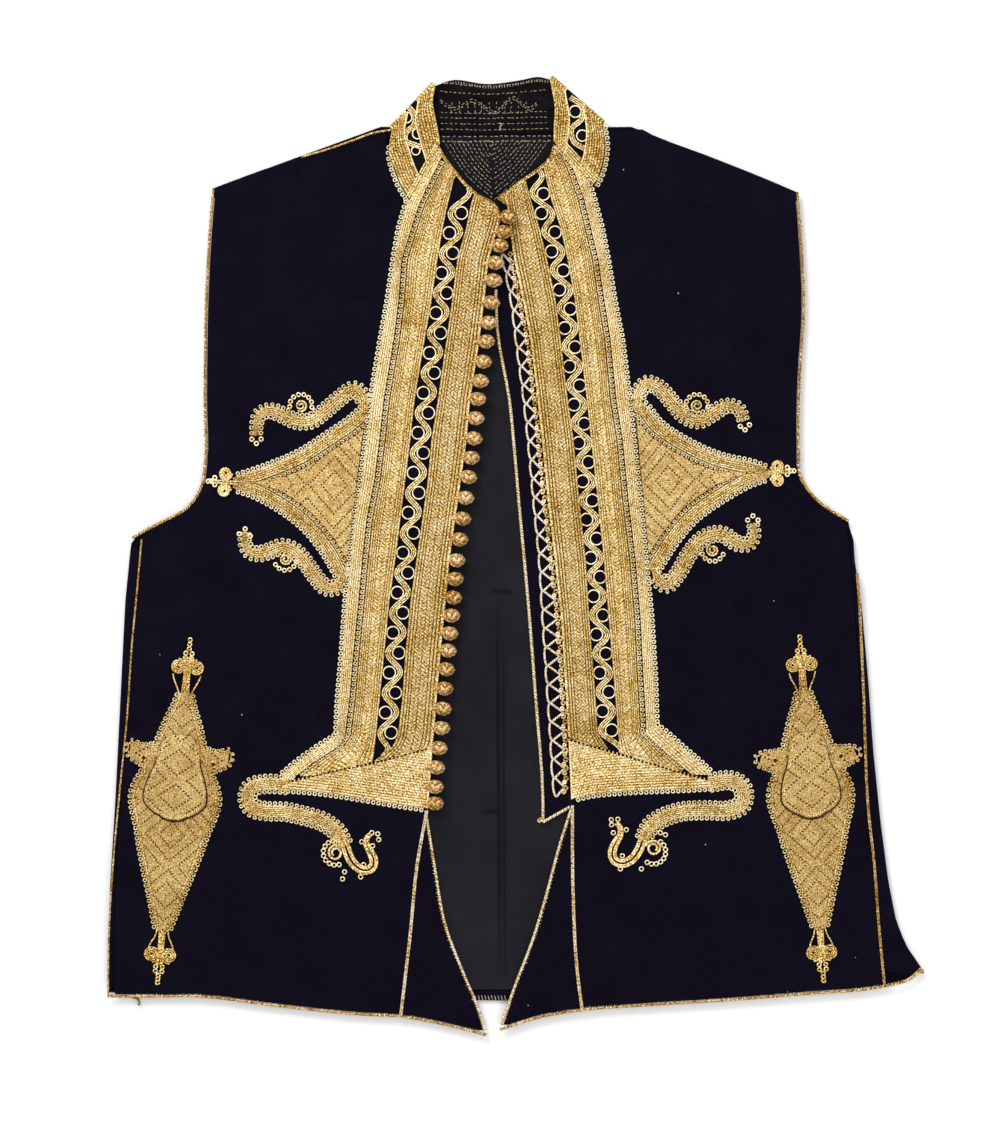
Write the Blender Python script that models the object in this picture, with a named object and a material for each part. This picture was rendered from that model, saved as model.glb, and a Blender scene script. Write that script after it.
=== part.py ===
"""Embroidered folk vest, laid flat: wool panels, a folded stand collar, couched gold braid,
a row of ball buttons with cord loops, and corded edges.

Every piece of cloth is a closed wall. A piece is drawn as a flat outline, cut into triangles,
and lifted onto the height of what it lies on. The table values are millimetres: X runs across
the vest, Y from the hem to the collar, and Z up from the surface that the vest lies on.
"left" and "right" are as seen from above, with the collar away from the viewer.
"""
import bpy
import bmesh
import numpy as np
from mathutils import Vector
from mathutils.geometry import delaunay_2d_cdt

MM = 0.001

# Driving dimensions, mm
GAP = 0.3               # clearance between neighbouring pieces
WOOL = 1.6              # wall of the wool panels
LINING = 1.0            # wall of the back lining
COLLAR_WALL = 2.2       # wall of the stiffened stand collar
BRAID = 2.0             # height of the closely couched gold cords
OPENWORK = 1.2          # height of the braid strip that is pierced with eyelets
APPLIQUE = 1.8          # height of the wings, leaves, feet and scrolls
EDGE_CORD = 1.3         # radius of the cord on the armholes and hems
SEAM_CORD = 1.2         # radius of the cord on the side seams and the underlap
FRONT_FLOOR = 3.6       # height of the fronts' inner face where nothing lifts it
LINING_FLOOR = WOOL + GAP
UNDERLAP_FLOOR = 3.2
CLOTH_PITCH = 34.0      # spacing of the points inside a soft panel

HAIRPIN = (FRONT_FLOOR + WOOL) / 2          # outer radius of the folded side of the back
COLLAR_FOLD = 3.0                           # outer radius of the fold in the collar

NAVY = (0.0065, 0.0058, 0.013)
NAVY_LINING = (0.013, 0.013, 0.018)
GOLD = (0.60, 0.42, 0.15)
GOLD_DARK = (0.47, 0.31, 0.09)

# Soft swells of the fronts: centre x, centre y, reach x, reach y, height
SWELLS = [
    (-152, 205, 62, 80, 1.3),
    (-205, 95, 48, 70, 0.8),
    (-190, -60, 66, 120, 1.1),
    (-150, -255, 95, 48, 1.0),
    (128, 200, 62, 80, 1.2),
    (176, 105, 40, 70, 0.9),
    (175, -70, 62, 110, 1.1),
    (140, -255, 80, 44, 1.0),
]

# Outer edges of the garment, each from the top down or from the side to the middle: x, y
ARMHOLE_L = [(-211.5, 257), (-214, 228), (-216.5, 179), (-217.5, 109), (-217.5, 63.5), (-220.5, 47.5),
             (-229, 35), (-248.5, 24), (-268, 13.5)]
ARMHOLE_R = [(198, 254), (200, 228), (202.5, 172), (199.5, 123), (199, 74), (200, 56.5), (208, 43.5),
             (220.5, 33), (236, 24)]
SIDE_L = [(-268, 13.5), (-272.5, -31), (-276, -101), (-279.5, -171), (-283, -227), (-284.6, -269),
          (-284.6, -308.5)]
SIDE_R = [(236, 24), (237.5, -3), (242, -31), (247, -87), (250.5, -136), (255.5, -185), (261, -227),
          (266.5, -255), (273.5, -272.5), (284.6, -288.5)]
SHOULDER_L = [(-211.5, 257), (-176.5, 270), (-135, 284), (-91, 301)]
SHOULDER_R = [(198, 254), (177, 263), (133, 280.5), (96, 294.5), (75, 305), (66.5, 306)]
SEAM_L = [(-260.5, 13.5), (-263.5, -20.5), (-268, -69.5), (-270.5, -112.5), (-275, -164),
          (-277.6, -198), (-279.3, -232.5), (-280.4, -269), (-280.4, -308.5)]
SEAM_R = [(231.6, 22), (235.6, -13.5), (238.6, -54.5), (241.5, -101), (243.5, -131.5), (246, -177),
          (250, -213.5), (253.5, -259.5), (257.5, -301.5)]
HEM_L = [(-284.6, -308.5), (-250, -308.5), (-220.5, -308.5), (-171.5, -314.5), (-101.5, -321.5),
         (-80, -322.5)]
HEM_R = [(284.6, -288.5), (276.5, -296), (257.5, -301.5), (206.5, -306.5), (150.5, -311),
         (87.5, -315), (47, -318)]
HEM_BACK = [(-279.5, -305.5), (-220, -305.5), (-80, -310), (-10, -311), (88, -309), (150, -306.5),
            (206, -302.5), (250, -298.5), (268, -293.5), (277, -287)]
GORE_HEM_L = [(-80, -322.5), (-59.5, -326), (-31.5, -332.5), (-20.5, -335.6)]
GORE_HEM_R = [(47, -318), (15.5, -323.5), (-10, -331.8)]
GORE_SEAM_L = [(-61.5, -176.5), (-68.5, -216.5), (-73, -262.5), (-80, -322.5)]
GORE_SEAM_R = [(40, -173), (40.5, -234), (43.5, -291), (47, -318)]
GORE_EDGE_L = [(-61.5, -178), (-54.5, -221), (-48.5, -255), (-34.5, -292.5), (-25, -315), (-19.6, -332)]
GORE_EDGE_R = [(38.5, -176), (31, -199), (20.5, -238), (11.5, -267.5), (-1.5, -301.5), (-10.8, -328)]

# Neck and collar
BACK_NECK = [(-90, 296.2), (-52.5, 295), (-10.5, 294.6), (28.5, 296.4), (64.5, 300.9)]
NECK_L = [(-53, 286.5), (-49.5, 280), (-40.5, 268), (-33, 259), (-24.5, 252), (-14.5, 246.5),
          (-10, 238), (-10.5, 232)]
NECK_R = [(26.6, 286.5), (24, 278.5), (13.5, 269), (2, 261), (-5.5, 255), (-8, 249)]
COLLAR_SEAM_L = [(-89.5, 296.5), (-88.5, 280.5), (-84.5, 270), (-80.5, 259.5), (-74, 248.5)]
COLLAR_SEAM_R = [(64.5, 302), (63, 284), (59.5, 266.5), (55.5, 258.5)]
# A half of the folded collar, from its mitred front end to its fold: seam x, y, top edge x, y
COLLAR_HALF_L = [(-74, 248.5, -53, 287), (-80.5, 259.5, -54.2, 296), (-84.5, 270, -56, 305),
                 (-88.5, 280.5, -58, 316), (-86.5, 297, -56.2, 328.6)]
COLLAR_HALF_R = [(55.5, 258.5, 27.5, 288.5), (59.5, 266.5, 27.7, 298), (63, 284, 28.3, 313),
                 (61, 301.5, 24.8, 333)]
# The back of the collar, from the left fold to the right: seam x, y, top edge x, y
COLLAR_BACK = [(-52.5, 295.6, -42, 333), (-19.5, 295.2, -18.5, 330), (5, 295.6, 3, 332.6),
               (28.5, 297.2, 15, 335)]

# Braid panels: y, front edge, inner and outer edge of the eyelet strip, dotted row, outer edge
BRAID_L = [
    (228, -12.5, -34.5, -50.5, -70.5, -80),
    (207, -18.5, -40.5, -54, -77, -83.5),
    (179, -21.5, -44, -58, -79, -87.5),
    (151, -25, -48, -63, -82.5, -92.5),
    (109, -31.5, -54, -70, -89.5, -99.5),
    (81, -34, -58.5, -73, -92.5, -103),
    (53, -38, -61, -76.5, -96, -106.5),
    (25, -42, -65, -80, -101.5, -111.5),
    (-3, -46, -69, -83.5, -104.5, -114),
    (-31, -48.5, -73, -87.5, -107, -117),
    (-66, -52, -76.5, -91, -110.5, -119.5),
    (-101, -55, -79, -94.5, -113.5, -122.5),
    (-125.5, -57, -82, -97, -116.5, -123.5),
]
BRAID_R = [
    (249, -5.5, 11, 25, 46, 54),
    (228, -3.5, 17.5, 32, 51, 59.5),
    (207, -0.5, 22.5, 36.5, 56, 63.5),
    (179, 5.5, 28.5, 41.5, 60, 68),
    (151, 11, 32, 45, 64.5, 73.5),
    (109, 16, 37, 50, 68.5, 78.5),
    (81, 19, 41, 53, 73, 81.5),
    (39, 23, 45, 57.5, 77, 86),
    (-3, 28, 49.5, 62, 82, 90),
    (-45, 32.5, 52, 65.5, 85.5, 94),
    (-87, 35, 55.5, 69, 87.5, 96.5),
    (-118.5, 37, 57.5, 71.5, 89.5, 97.5),
]
EYELET = 3.3            # radius of an eyelet
EYELETS_L = (239.4, 13.95, 27)      # y of the first, pitch, count; they take turns left and right
EYELETS_R = (252.7, 13.37, 29)

# Feet of the braid panels: the dotted seam from the front edge outward, then the lower edge back
FOOT_TOP_L = [(-58.2, -133.5), (-80.5, -139.5), (-101.5, -145), (-122.5, -149), (-143.5, -154),
              (-154.5, -156.6), (-159.5, -158)]
FOOT_BOTTOM_L = [(-164, -162.2), (-136.5, -164.5), (-101.5, -169.8), (-80.5, -173.3), (-61, -176)]
FOOT_TOP_R = [(38, -128), (69, -137), (101, -146.5), (122, -152.8), (135, -156)]
FOOT_BOTTOM_R = [(138, -161), (122, -162), (101.5, -162.8), (73.5, -164.2), (52.5, -166.3), (39.5, -169.5)]
FLARE_L = [(-163.5, -154.4), (-150.5, -143.5), (-136.5, -133.5)]
FLARE_R = [(137.2, -152.6), (128, -144), (118.5, -136), (104.5, -123.5)]
TAIL_L = [(-158, -160), (-175, -159.3), (-184, -161.5), (-187, -168.5), (-184, -175.5), (-175, -178),
          (-161, -178.5), (-147, -181.5), (-133, -186), (-124, -193), (-118.5, -202.5), (-115, -211.5),
          (-110.5, -217), (-104.5, -219.5), (-99.8, -217.5), (-98.6, -212.5),
          (-101.3, -206), (-103.3, -200.5), (-104.3, -196.5)]
TAIL_R = [(135, -158.5), (152, -157), (158, -160.3), (160, -166.5), (158.5, -173.5), (152, -177),
          (133.5, -177.5), (116, -178.5), (106, -181.5), (95, -188), (89, -199), (86, -206),
          (81, -212.2), (74.5, -214.6), (69, -212), (67.8, -207), (69.7, -201.5), (72.8, -195.8),
          (74, -191)]
TAIL_CURL_L = (-125.5, -208, 7.5)       # centre x, y, radius
TAIL_CURL_R = (96.8, -204.5, 7.5)

# Wings: upper edge from the panel to the tip, lower edge back
WING_TOP_L = [(-100.4, 109), (-115.5, 95), (-129.5, 85.5), (-150.5, 72), (-171.5, 63), (-185.5, 58),
              (-197, 54.5)]
WING_BOTTOM_L = [(-197, 47.5), (-185.5, 44), (-164.5, 33), (-147, 19.5), (-133, 2), (-124, -13.5),
                 (-117.2, -24)]
WING_TOP_R = [(79.2, 108), (88, 107), (101.5, 92.5), (119.5, 80.5), (144, 69.5), (168, 64), (178, 60)]
WING_BOTTOM_R = [(178, 55), (168, 52), (144, 39), (126, 26), (112.5, 10.5), (101.5, -6.5), (94, -19)]
SCROLL_TOP_L = [(-106, 100), (-106, 110), (-111.5, 116.5), (-122.5, 110), (-133, 101), (-143.5, 94),
                (-154, 94.5), (-162.5, 98.5), (-171.5, 101.5), (-178, 99), (-180.5, 91), (-180.5, 84)]
SCROLL_LOW_L = [(-119.5, -14), (-123.5, -21), (-131, -22.5), (-138, -16), (-143.5, -8.5),
                (-148.5, -1.5), (-154.5, 4), (-162.5, 6.5), (-170, 4), (-178.5, 1.5), (-185.5, 3),
                (-188.5, 9), (-188.5, 17)]
SCROLL_TOP_R = [(84.5, 103), (86.5, 114), (92, 120.5), (99.5, 118), (110, 107), (119.5, 97),
                (128, 94.5), (138, 99.5), (148.5, 105), (156, 103), (159.5, 94)]
SCROLL_LOW_R = [(98, -8), (100, -16), (105.5, -20.5), (112.5, -14), (122, 2), (131.5, 12.5), (144, 15.5),
                (156, 8.5), (163.5, 8.5), (167, 15), (166, 23)]
SCROLL_CURLS_L = [(-148.5, 103, 6), (-160.5, -1.5, 6)]
SCROLL_CURLS_R = [(126.5, 103.5, 5.5), (138, 5, 6)]
WING_FINIAL_L = [(-202, 56, 4.6), (-203, 46.5, 4.6), (-209.5, 51, 3.0)]
WING_FINIAL_R = [(183, 62.5, 4.4), (183, 52.8, 4.4), (189.8, 57.6, 3.0)]
WING_STEM_L = [(-194, 51), (-211, 51.5)]
WING_STEM_R = [(174, 57.5), (191, 58.5)]
SCROLL_HALF_WIDTH = 3.9

# Pocket leaves: distance from the top point along the axis, half width
LEAF = [(39, 3), (46.5, 6.5), (55, 10), (64, 13.5), (74, 17), (84, 19), (97, 25), (107.5, 29),
        (114.5, 29.8), (125, 27.5), (135.5, 24), (147.5, 21), (158, 18), (168, 15), (179, 11.5),
        (190, 8.3), (199, 5.6), (208, 3)]
FLAP = [(68, 6), (75, 12.5), (90, 15.5), (100.5, 19.5), (110, 21.5), (116.5, 20), (123, 13), (127.5, 4)]
# Outline of a leaf's ear, from its upper root round the tip: across, along
LEAF_EAR_L = [(14, 76), (27, 79), (34.5, 77), (36, 81.3), (34.5, 86), (29, 89.3), (18, 95)]
LEAF_EAR_R = [(14, 80), (26.5, 81.5), (34, 81.8), (38, 84.2), (36.5, 88.8), (31, 91.3), (18, 97)]
LEAF_STEMS = [(8, 44), (203, 231)]
LEAF_SPIRALS = [(21, 6.6, 5.4), (223, 6.2, 5.0)]        # along, across, radius
LEAF_CROSSES = [11.5, 232.0]
LEAF_AXIS_L = ((-226.5, -56.5), (-249.5, -297))
LEAF_AXIS_R = ((198.5, -54.5), (215.5, -298))

# Underlap and the button loops that lie on it
UNDERLAP = [(-14.5, 210), (-14.5, 186), (-13.5, 158), (-5, 109), (-1.5, 74), (1.5, 39), (8, -31),
            (13.5, -101), (18.4, -171), (18.4, -185.8)]
UNDERLAP_FOOT = [(18.4, -185.8), (38.5, -176.4)]
LOOP_LINE = [(-5.5, 193), (-4, 179), (-0.5, 151), (5, 109), (8, 81), (13, 39), (17, -3), (19.5, -45),
             (22.5, -87), (25, -129), (26.5, -155), (27.5, -168)]
LOOP_COUNT = 27
LOOP_DEPTH = 5.0
LOOP_HALF_WIDTH = 1.1

# Buttons down the left front edge: y of each, from the collar to the foot
BUTTON_ROWS = [236, 225.5, 216, 204, 192, 176.5, 162.5, 149.5, 135.5, 122, 109.5, 96, 82, 68.5, 55,
               40.5, 26, 11.5, -3, -16, -29, -41.5, -54, -66, -79, -92.5, -106.5, -120, -134, -147.5,
               -161, -172.5]
BUTTON_LENGTH = 11.6
BUTTON_RADIUS = 4.7
BUTTON_REACH = 5.6      # of a button's centre beyond the front edge


# ---------------------------------------------------------------- curves and heights

def smooth(points, steps=3):
    """Cubic curve through the points, with tangents from the neighbouring chords."""
    p = np.array(points, float)
    if len(p) < 3 or steps < 2:
        return p
    t = np.concatenate([[0], np.cumsum(np.linalg.norm(np.diff(p, axis=0), axis=1))])
    slope = np.diff(p, axis=0) / np.diff(t)[:, None]
    tangent = np.empty_like(p)
    tangent[0] = slope[0]
    tangent[-1] = slope[-1]
    near = np.diff(t)
    before, after = near[:-1, None], near[1:, None]
    tangent[1:-1] = (slope[:-1] * after + slope[1:] * before) / (before + after)
    rows = []
    for i in range(len(p) - 1):
        s = np.linspace(0, 1, steps, endpoint=False)[:, None]
        h = near[i]
        rows.append((2 * s**3 - 3 * s**2 + 1) * p[i] + (s**3 - 2 * s**2 + s) * h * tangent[i]
                    + (-2 * s**3 + 3 * s**2) * p[i + 1] + (s**3 - s**2) * h * tangent[i + 1])
    rows.append(p[-1:])
    return np.concatenate(rows)


def beside(path, distance):
    """The path moved sideways: to its right, seen from above, for a positive distance."""
    p = np.array(path, float)
    along = np.gradient(p, axis=0)
    along /= np.linalg.norm(along, axis=1)[:, None]
    return p + distance * np.column_stack([along[:, 1], -along[:, 0]])


def chain(*paths):
    """Joins paths end to end into one outline."""
    return np.concatenate([np.array(p, float) for p in paths])


def lift(x, y):
    """Height of the fronts' soft swells: the sum of (1 - r^2)^2 bumps."""
    total = np.zeros(np.shape(x))
    for cx, cy, rx, ry, height in SWELLS:
        r2 = ((x - cx) / rx)**2 + ((y - cy) / ry)**2
        total = total + height * np.clip(1 - r2, 0, None)**2
    return total


def edge_x(table, y, column=1):
    """X of one column of a braid table at the height y, in straight runs between rows."""
    rows = np.array(table, float)[::-1]
    return np.interp(y, rows[:, 0], rows[:, column])


def front_under(x, y):
    return FRONT_FLOOR + lift(x, y)


def front_over(x, y):
    return front_under(x, y) + WOOL


def on_front(x, y):
    return front_over(x, y) + GAP


# ---------------------------------------------------------------- solids

def material(name, colour, roughness, metallic=0.0):
    made = bpy.data.materials.get(name)
    if made is None:
        made = bpy.data.materials.new(name)
        made.use_nodes = True
        shader = made.node_tree.nodes["Principled BSDF"]
        shader.inputs["Base Color"].default_value = (*colour, 1)
        shader.inputs["Roughness"].default_value = roughness
        shader.inputs["Metallic"].default_value = metallic
    return made


def wool():
    return material("navy_wool", NAVY, 0.9)


def lining_cloth():
    return material("navy_lining", NAVY_LINING, 0.75)


def gold():
    return material("gold_braid", GOLD, 0.45, 0.35)


def gold_dark():
    return material("gold_cord", GOLD_DARK, 0.5, 0.3)


def new_object(name, verts, faces, finish):
    mesh = bpy.data.meshes.new(name)
    mesh.from_pydata([tuple(v) for v in np.array(verts) * MM], [], [tuple(int(i) for i in f) for f in faces])
    mesh.materials.append(finish)
    work = bmesh.new()
    work.from_mesh(mesh)
    bmesh.ops.recalc_face_normals(work, faces=work.faces)
    work.to_mesh(mesh)
    work.free()
    thing = bpy.data.objects.new(name, mesh)
    bpy.context.scene.collection.objects.link(thing)
    return thing


def counter_clockwise(outline):
    p = np.array(outline, float)
    x, y = p[:, 0], p[:, 1]
    area = np.sum(x * np.roll(y, -1) - np.roll(x, -1) * y)
    return p if area > 0 else p[::-1]


def inside(points, outline):
    """True for each point inside the outline, by counting the edges that a ray crosses."""
    p = np.array(outline, float)
    q = np.roll(p, -1, axis=0)
    x, y = points[:, 0][:, None], points[:, 1][:, None]
    spans = (p[:, 1] > y) != (q[:, 1] > y)
    rise = np.where(q[:, 1] == p[:, 1], 1, q[:, 1] - p[:, 1])
    crossing = p[:, 0] + (y - p[:, 1]) * (q[:, 0] - p[:, 0]) / rise
    return np.sum(spans & (x < crossing), axis=1) % 2 == 1


def inner_points(outline, pitch, margin):
    """A square grid of points inside the outline, clear of its edge by the margin."""
    p = np.array(outline, float)
    low, high = p.min(axis=0), p.max(axis=0)
    xs = np.arange(low[0] + pitch / 2, high[0], pitch)
    ys = np.arange(low[1] + pitch / 2, high[1], pitch)
    grid = np.stack(np.meshgrid(xs, ys), axis=-1).reshape(-1, 2)
    grid = grid[inside(grid, p)]
    far = np.array([np.min(np.linalg.norm(p - g, axis=1)) > margin for g in grid])
    return grid[far] if len(grid) else grid


def cut(shapes, holes=(), extra=(), lines=()):
    """Triangles of the union of the shapes, less the holes, with extra points and lines kept."""
    points, faces, edges = [], [], []
    for shape in [*shapes, *holes]:
        ring = counter_clockwise(shape)
        faces.append(list(range(len(points), len(points) + len(ring))))
        points.extend(ring)
    for line in lines:
        first = len(points)
        points.extend(line)
        edges.extend((first + i, first + i + 1) for i in range(len(line) - 1))
    points.extend(extra)
    found = delaunay_2d_cdt([Vector((float(p[0]), float(p[1]))) for p in points], edges, faces, 0, 1e-3)
    verts = np.array([tuple(v) for v in found[0]])
    triangles = np.array(found[2])
    middle = verts[triangles].mean(axis=1)
    covered = np.any([inside(middle, shape) for shape in shapes], axis=0)
    for hole in holes:
        covered &= ~inside(middle, hole)
    kept = triangles[covered].tolist()
    used = sorted({i for t in kept for i in t})
    place = {old: new for new, old in enumerate(used)}
    return verts[used], [[place[i] for i in t] for t in kept]


def wall(name, flat, triangles, under, over, finish):
    """A closed wall: the triangles on an under and an over surface, joined round every edge."""
    count = len(flat)
    faces = [[t[0] + count, t[1] + count, t[2] + count] for t in triangles]
    faces += [[t[2], t[1], t[0]] for t in triangles]
    half = {(t[i], t[(i + 1) % 3]) for t in triangles for i in range(3)}
    for a, b in sorted(half):
        if (b, a) not in half:
            faces.append([a, b, b + count, a + count])
    return new_object(name, np.concatenate([under, over]), faces, finish)


def panel(name, shapes, under, over, finish, holes=(), extra=(), lines=()):
    """A wall between two height functions of x and y."""
    flat, triangles = cut(shapes, holes, extra, lines)
    x, y = flat[:, 0], flat[:, 1]
    low = np.column_stack([x, y, np.broadcast_to(under(x, y), x.shape)])
    high = np.column_stack([x, y, np.broadcast_to(over(x, y), x.shape)])
    return wall(name, flat, triangles, low, high, finish)


def strip(path, half_width):
    """Short overlapping four-sided shapes that cover a ribbon along the path."""
    left = beside(path, -half_width)
    right = beside(path, half_width)
    return [np.array([left[i], left[i + 1], right[i + 1], right[i]]) for i in range(len(left) - 1)]


def disc(x, y, radius, sides=10):
    turn = np.linspace(0, 2 * np.pi, sides, endpoint=False) + np.pi / sides
    return np.column_stack([x + radius * np.cos(turn), y + radius * np.sin(turn)])


def cord(name, path, heights, radius, finish):
    """A capped six-sided tube along a path, made as a bevelled curve."""
    line = bpy.data.curves.new(name, "CURVE")
    line.dimensions = "3D"
    line.bevel_depth = radius * MM
    line.bevel_resolution = 1
    line.use_fill_caps = True
    line.materials.append(finish)
    run = line.splines.new("POLY")
    run.points.add(len(path) - 1)
    for point, (x, y), z in zip(run.points, path, heights):
        point.co = (x * MM, y * MM, z * MM, 1)
    thing = bpy.data.objects.new(name, line)
    bpy.context.scene.collection.objects.link(thing)
    return thing


# ---------------------------------------------------------------- cloth

def round_the_side(u, y, face):
    """Folds the flat back round both sides: u is x on the flat cut, face is 0 outside, 1 inside.

    Up to the fold the cloth lies flat. Past it, u runs round a half circle and then back
    towards the middle, on top. The circle's outer radius is HAIRPIN.
    """
    depth = HAIRPIN - WOOL / 2
    radius = HAIRPIN - WOOL * face
    left_edge = np.interp(y, *np.array(SIDE_L, float)[::-1].T[::-1]) + HAIRPIN
    right_edge = np.interp(y, *np.array(SIDE_R, float)[::-1].T[::-1]) - HAIRPIN
    x = u.copy()
    z = np.full_like(u, WOOL * face)
    for centre, side in ((left_edge, -1), (right_edge, 1)):
        past = side * (u - centre)
        turn = np.clip(past / depth, 0, np.pi)
        back = np.clip(past - depth * np.pi, 0, None)
        folded = (past > 0) & (y < ARMHOLE_R[-1][1])
        x = np.where(folded, centre + side * (radius * np.sin(turn) - back), x)
        z = np.where(folded, HAIRPIN - radius * np.cos(turn), z)
    return x, z


def back_panel():
    """The back: one flat cut whose sides fold over to the side seams on the front."""
    depth = HAIRPIN - WOOL / 2
    turns = np.linspace(0, 1, 6)
    ends, folds = [], []
    for side, edge, seam, start, last in ((-1, SIDE_L, SEAM_L, [(8, 1)], -304),
                                          (1, SIDE_R, SEAM_R, [(16, 0.35), (8, 0.6), (0, 0.85)], -280)):
        level = np.array(start + [(row[1], 1) for row in seam[1:-1]] + [(last, 1)], float)
        rows, share = level[:, 0], level[:, 1]
        centre = np.interp(rows, *np.array(edge, float)[::-1].T[::-1]) - side * HAIRPIN
        seam_x = np.interp(rows, *np.array(seam, float)[::-1].T[::-1])
        free = seam_x + side * GAP / 2
        over = np.where(share < 1, 0, np.clip(side * (centre - free), 0.4, None))
        ends.append(np.column_stack([centre + side * (np.pi * depth * share + over), rows]))
        for turn in turns:
            line = np.column_stack([centre + side * np.pi * depth * turn, rows])
            folds.append(line[share > turn - 0.01])
    left_arm = beside(smooth(ARMHOLE_L, 2), -(GAP + 2 * EDGE_CORD))
    right_arm = beside(smooth(ARMHOLE_R, 2), GAP + 2 * EDGE_CORD)
    outline = chain(BACK_NECK[::-1], smooth(SHOULDER_L[::-1], 2)[:-1], left_arm, ends[0],
                    HEM_BACK, ends[1][::-1], right_arm[::-1], smooth(SHOULDER_R, 2)[1:])
    shoulder = chain(SHOULDER_L, SHOULDER_R)
    inset = [beside(smooth(SHOULDER_L, 2)[1:], 12), beside(smooth(SHOULDER_R, 2)[1:], -12)]
    flat, triangles = cut([outline], lines=folds, extra=[p for line in inset for p in line])
    faces = []
    for face in (0, 1):
        x, z = round_the_side(flat[:, 0], flat[:, 1], face)
        faces.append(np.column_stack([x, flat[:, 1], z + shoulder_rise(x, flat[:, 1], shoulder)]))
    return wall("back_panel", flat, triangles, faces[0], faces[1], wool())


def shoulder_rise(x, y, line):
    """The back's edge rises at the shoulders, to close on the front's."""
    ordered = line[np.argsort(line[:, 0])]
    reach = 10.0
    below = np.interp(x, ordered[:, 0], ordered[:, 1]) - y
    near = np.clip(1 - below / reach, 0, 1) * ((x < -84) | (x > 62))
    return (FRONT_FLOOR - WOOL - GAP) * near**2 * (y > 240)


def back_lining():
    """The lining of the back, where the neck and the open fronts show it."""
    left = [(-78, 293), (-76, 240), (-60, 200), (-62, 100), (-80, -60), (-98, -180), (-104, -302)]
    right = [(70, -303), (66, -180), (62, -60), (46, 60), (36, 200), (52, 240), (54, 294)]
    top = [(28.5, 294), (-10.5, 292.4)]
    panel("back_lining", [chain(left, [(-10, -307.5)], right, top)],
          lambda x, y: LINING_FLOOR + 0 * x, lambda x, y: LINING_FLOOR + LINING + 0 * x, lining_cloth())


def meet(first, second):
    """Where the line of the first path's last stretch crosses that of the second's first stretch."""
    a, b = first[-2], first[-1]
    c, d = second[0], second[1]
    along, other = b - a, d - c
    share = np.cross(c - a, other) / np.cross(along, other)
    return [a + share * along]


def front(side):
    """A front, from the shoulder seam to the hem and from the side seam to the front edge."""
    left = side < 0
    sign = 1 if left else -1
    trim = GAP + 2 * EDGE_CORD
    shoulder = smooth(SHOULDER_L if left else SHOULDER_R, 2)
    arm = beside(smooth(ARMHOLE_L if left else ARMHOLE_R, 3), -sign * trim)
    seam = beside(SEAM_L if left else SEAM_R, -sign * GAP)
    arm = arm[sign * arm[:, 0] > sign * seam[0, 0] + 1.5]
    hem = beside(smooth(HEM_L if left else HEM_R, 2), -sign * trim)
    order = np.argsort(hem[:, 0])
    side_corner = [(seam[-1, 0], np.interp(seam[-1, 0], hem[order, 0], hem[order, 1]))]
    hem = hem[sign * hem[:, 0] > sign * seam[-1, 0] + 3]
    gore_seam = beside(smooth(GORE_SEAM_L if left else GORE_SEAM_R, 2), sign * GAP)
    table = BRAID_L if left else BRAID_R
    front_edge = np.array([(row[1] - 0.5 * sign, row[0]) for row in table])
    neck = beside(smooth(NECK_L if left else NECK_R, 2), sign * 0.5)
    collar = beside(smooth(COLLAR_SEAM_L if left else COLLAR_SEAM_R, 2), sign * GAP)
    collar[-1] = np.array((COLLAR_SEAM_L if left else COLLAR_SEAM_R)[-1]) + (0, -1.2)
    return chain(shoulder[:-1][::-1] - np.array([0, 0.4]), arm, seam[:-1] - np.array([0, 0.1]), side_corner,
                 hem[:-1], meet(hem, gore_seam[::-1]), gore_seam[:-1][::-1], front_edge[::-1],
                 neck[1:-1][::-1], collar[::-1])


def fronts():
    for side, name in ((-1, "front_left"), (1, "front_right")):
        outline = front(side)
        panel(name, [outline], front_under, front_over, wool(),
              extra=inner_points(outline, CLOTH_PITCH, 9))


def gores():
    """The pointed gores below the feet, between the gore seam and the slanting front edge."""
    trim = GAP + 2 * EDGE_CORD
    for name, seam, edge, hem, sign in (
            ("gore_left", GORE_SEAM_L, GORE_EDGE_L, GORE_HEM_L, 1),
            ("gore_right", GORE_SEAM_R, GORE_EDGE_R, GORE_HEM_R, -1)):
        inner = beside(smooth(seam, 2), -sign * GAP)[1:]
        outer = beside(smooth(edge, 2), sign * trim)[1:]
        low = beside(smooth(hem, 2), -sign * trim)
        ridge = beside(inner, -sign * 3.0)
        apex = [inner[0] + 0.5 * (inner[0] - inner[1])]

        def over(x, y, inner=inner, sign=sign):
            rim = np.interp(y, inner[::-1, 1], inner[::-1, 0])
            across = sign * (x - rim)
            return front_over(x, y) + 0.9 * np.clip(1 - across / 3.0, 0, 1)

        outline = chain(apex, inner[:-1], meet(inner, low), low[1:-1], meet(low, outer[::-1]),
                        outer[:-1][::-1])
        panel(name, [outline], front_under, over, wool(), lines=[ridge[2:-2]])


def placket():
    """The underlap of the right front, a navy strip that the button loops lie on."""
    free = beside(smooth(UNDERLAP, 2), -(GAP + 2 * SEAM_CORD))
    low = beside(UNDERLAP_FOOT, -(GAP + 2 * SEAM_CORD))
    ys = np.linspace(-170.5, 208, 14)
    held = np.column_stack([edge_x(BRAID_R, ys) - 0.5, ys])
    held[:, 0] = np.where(ys < -118.5, 37 + (-118.5 - ys) * 0.025, edge_x(BRAID_R, ys)) - GAP - 0.2
    panel("placket", [chain(free[:-1], meet(free, low), low[1:], held)],
          lambda x, y: UNDERLAP_FLOOR + 0 * x, lambda x, y: UNDERLAP_FLOOR + WOOL + 0 * x, wool())


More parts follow.
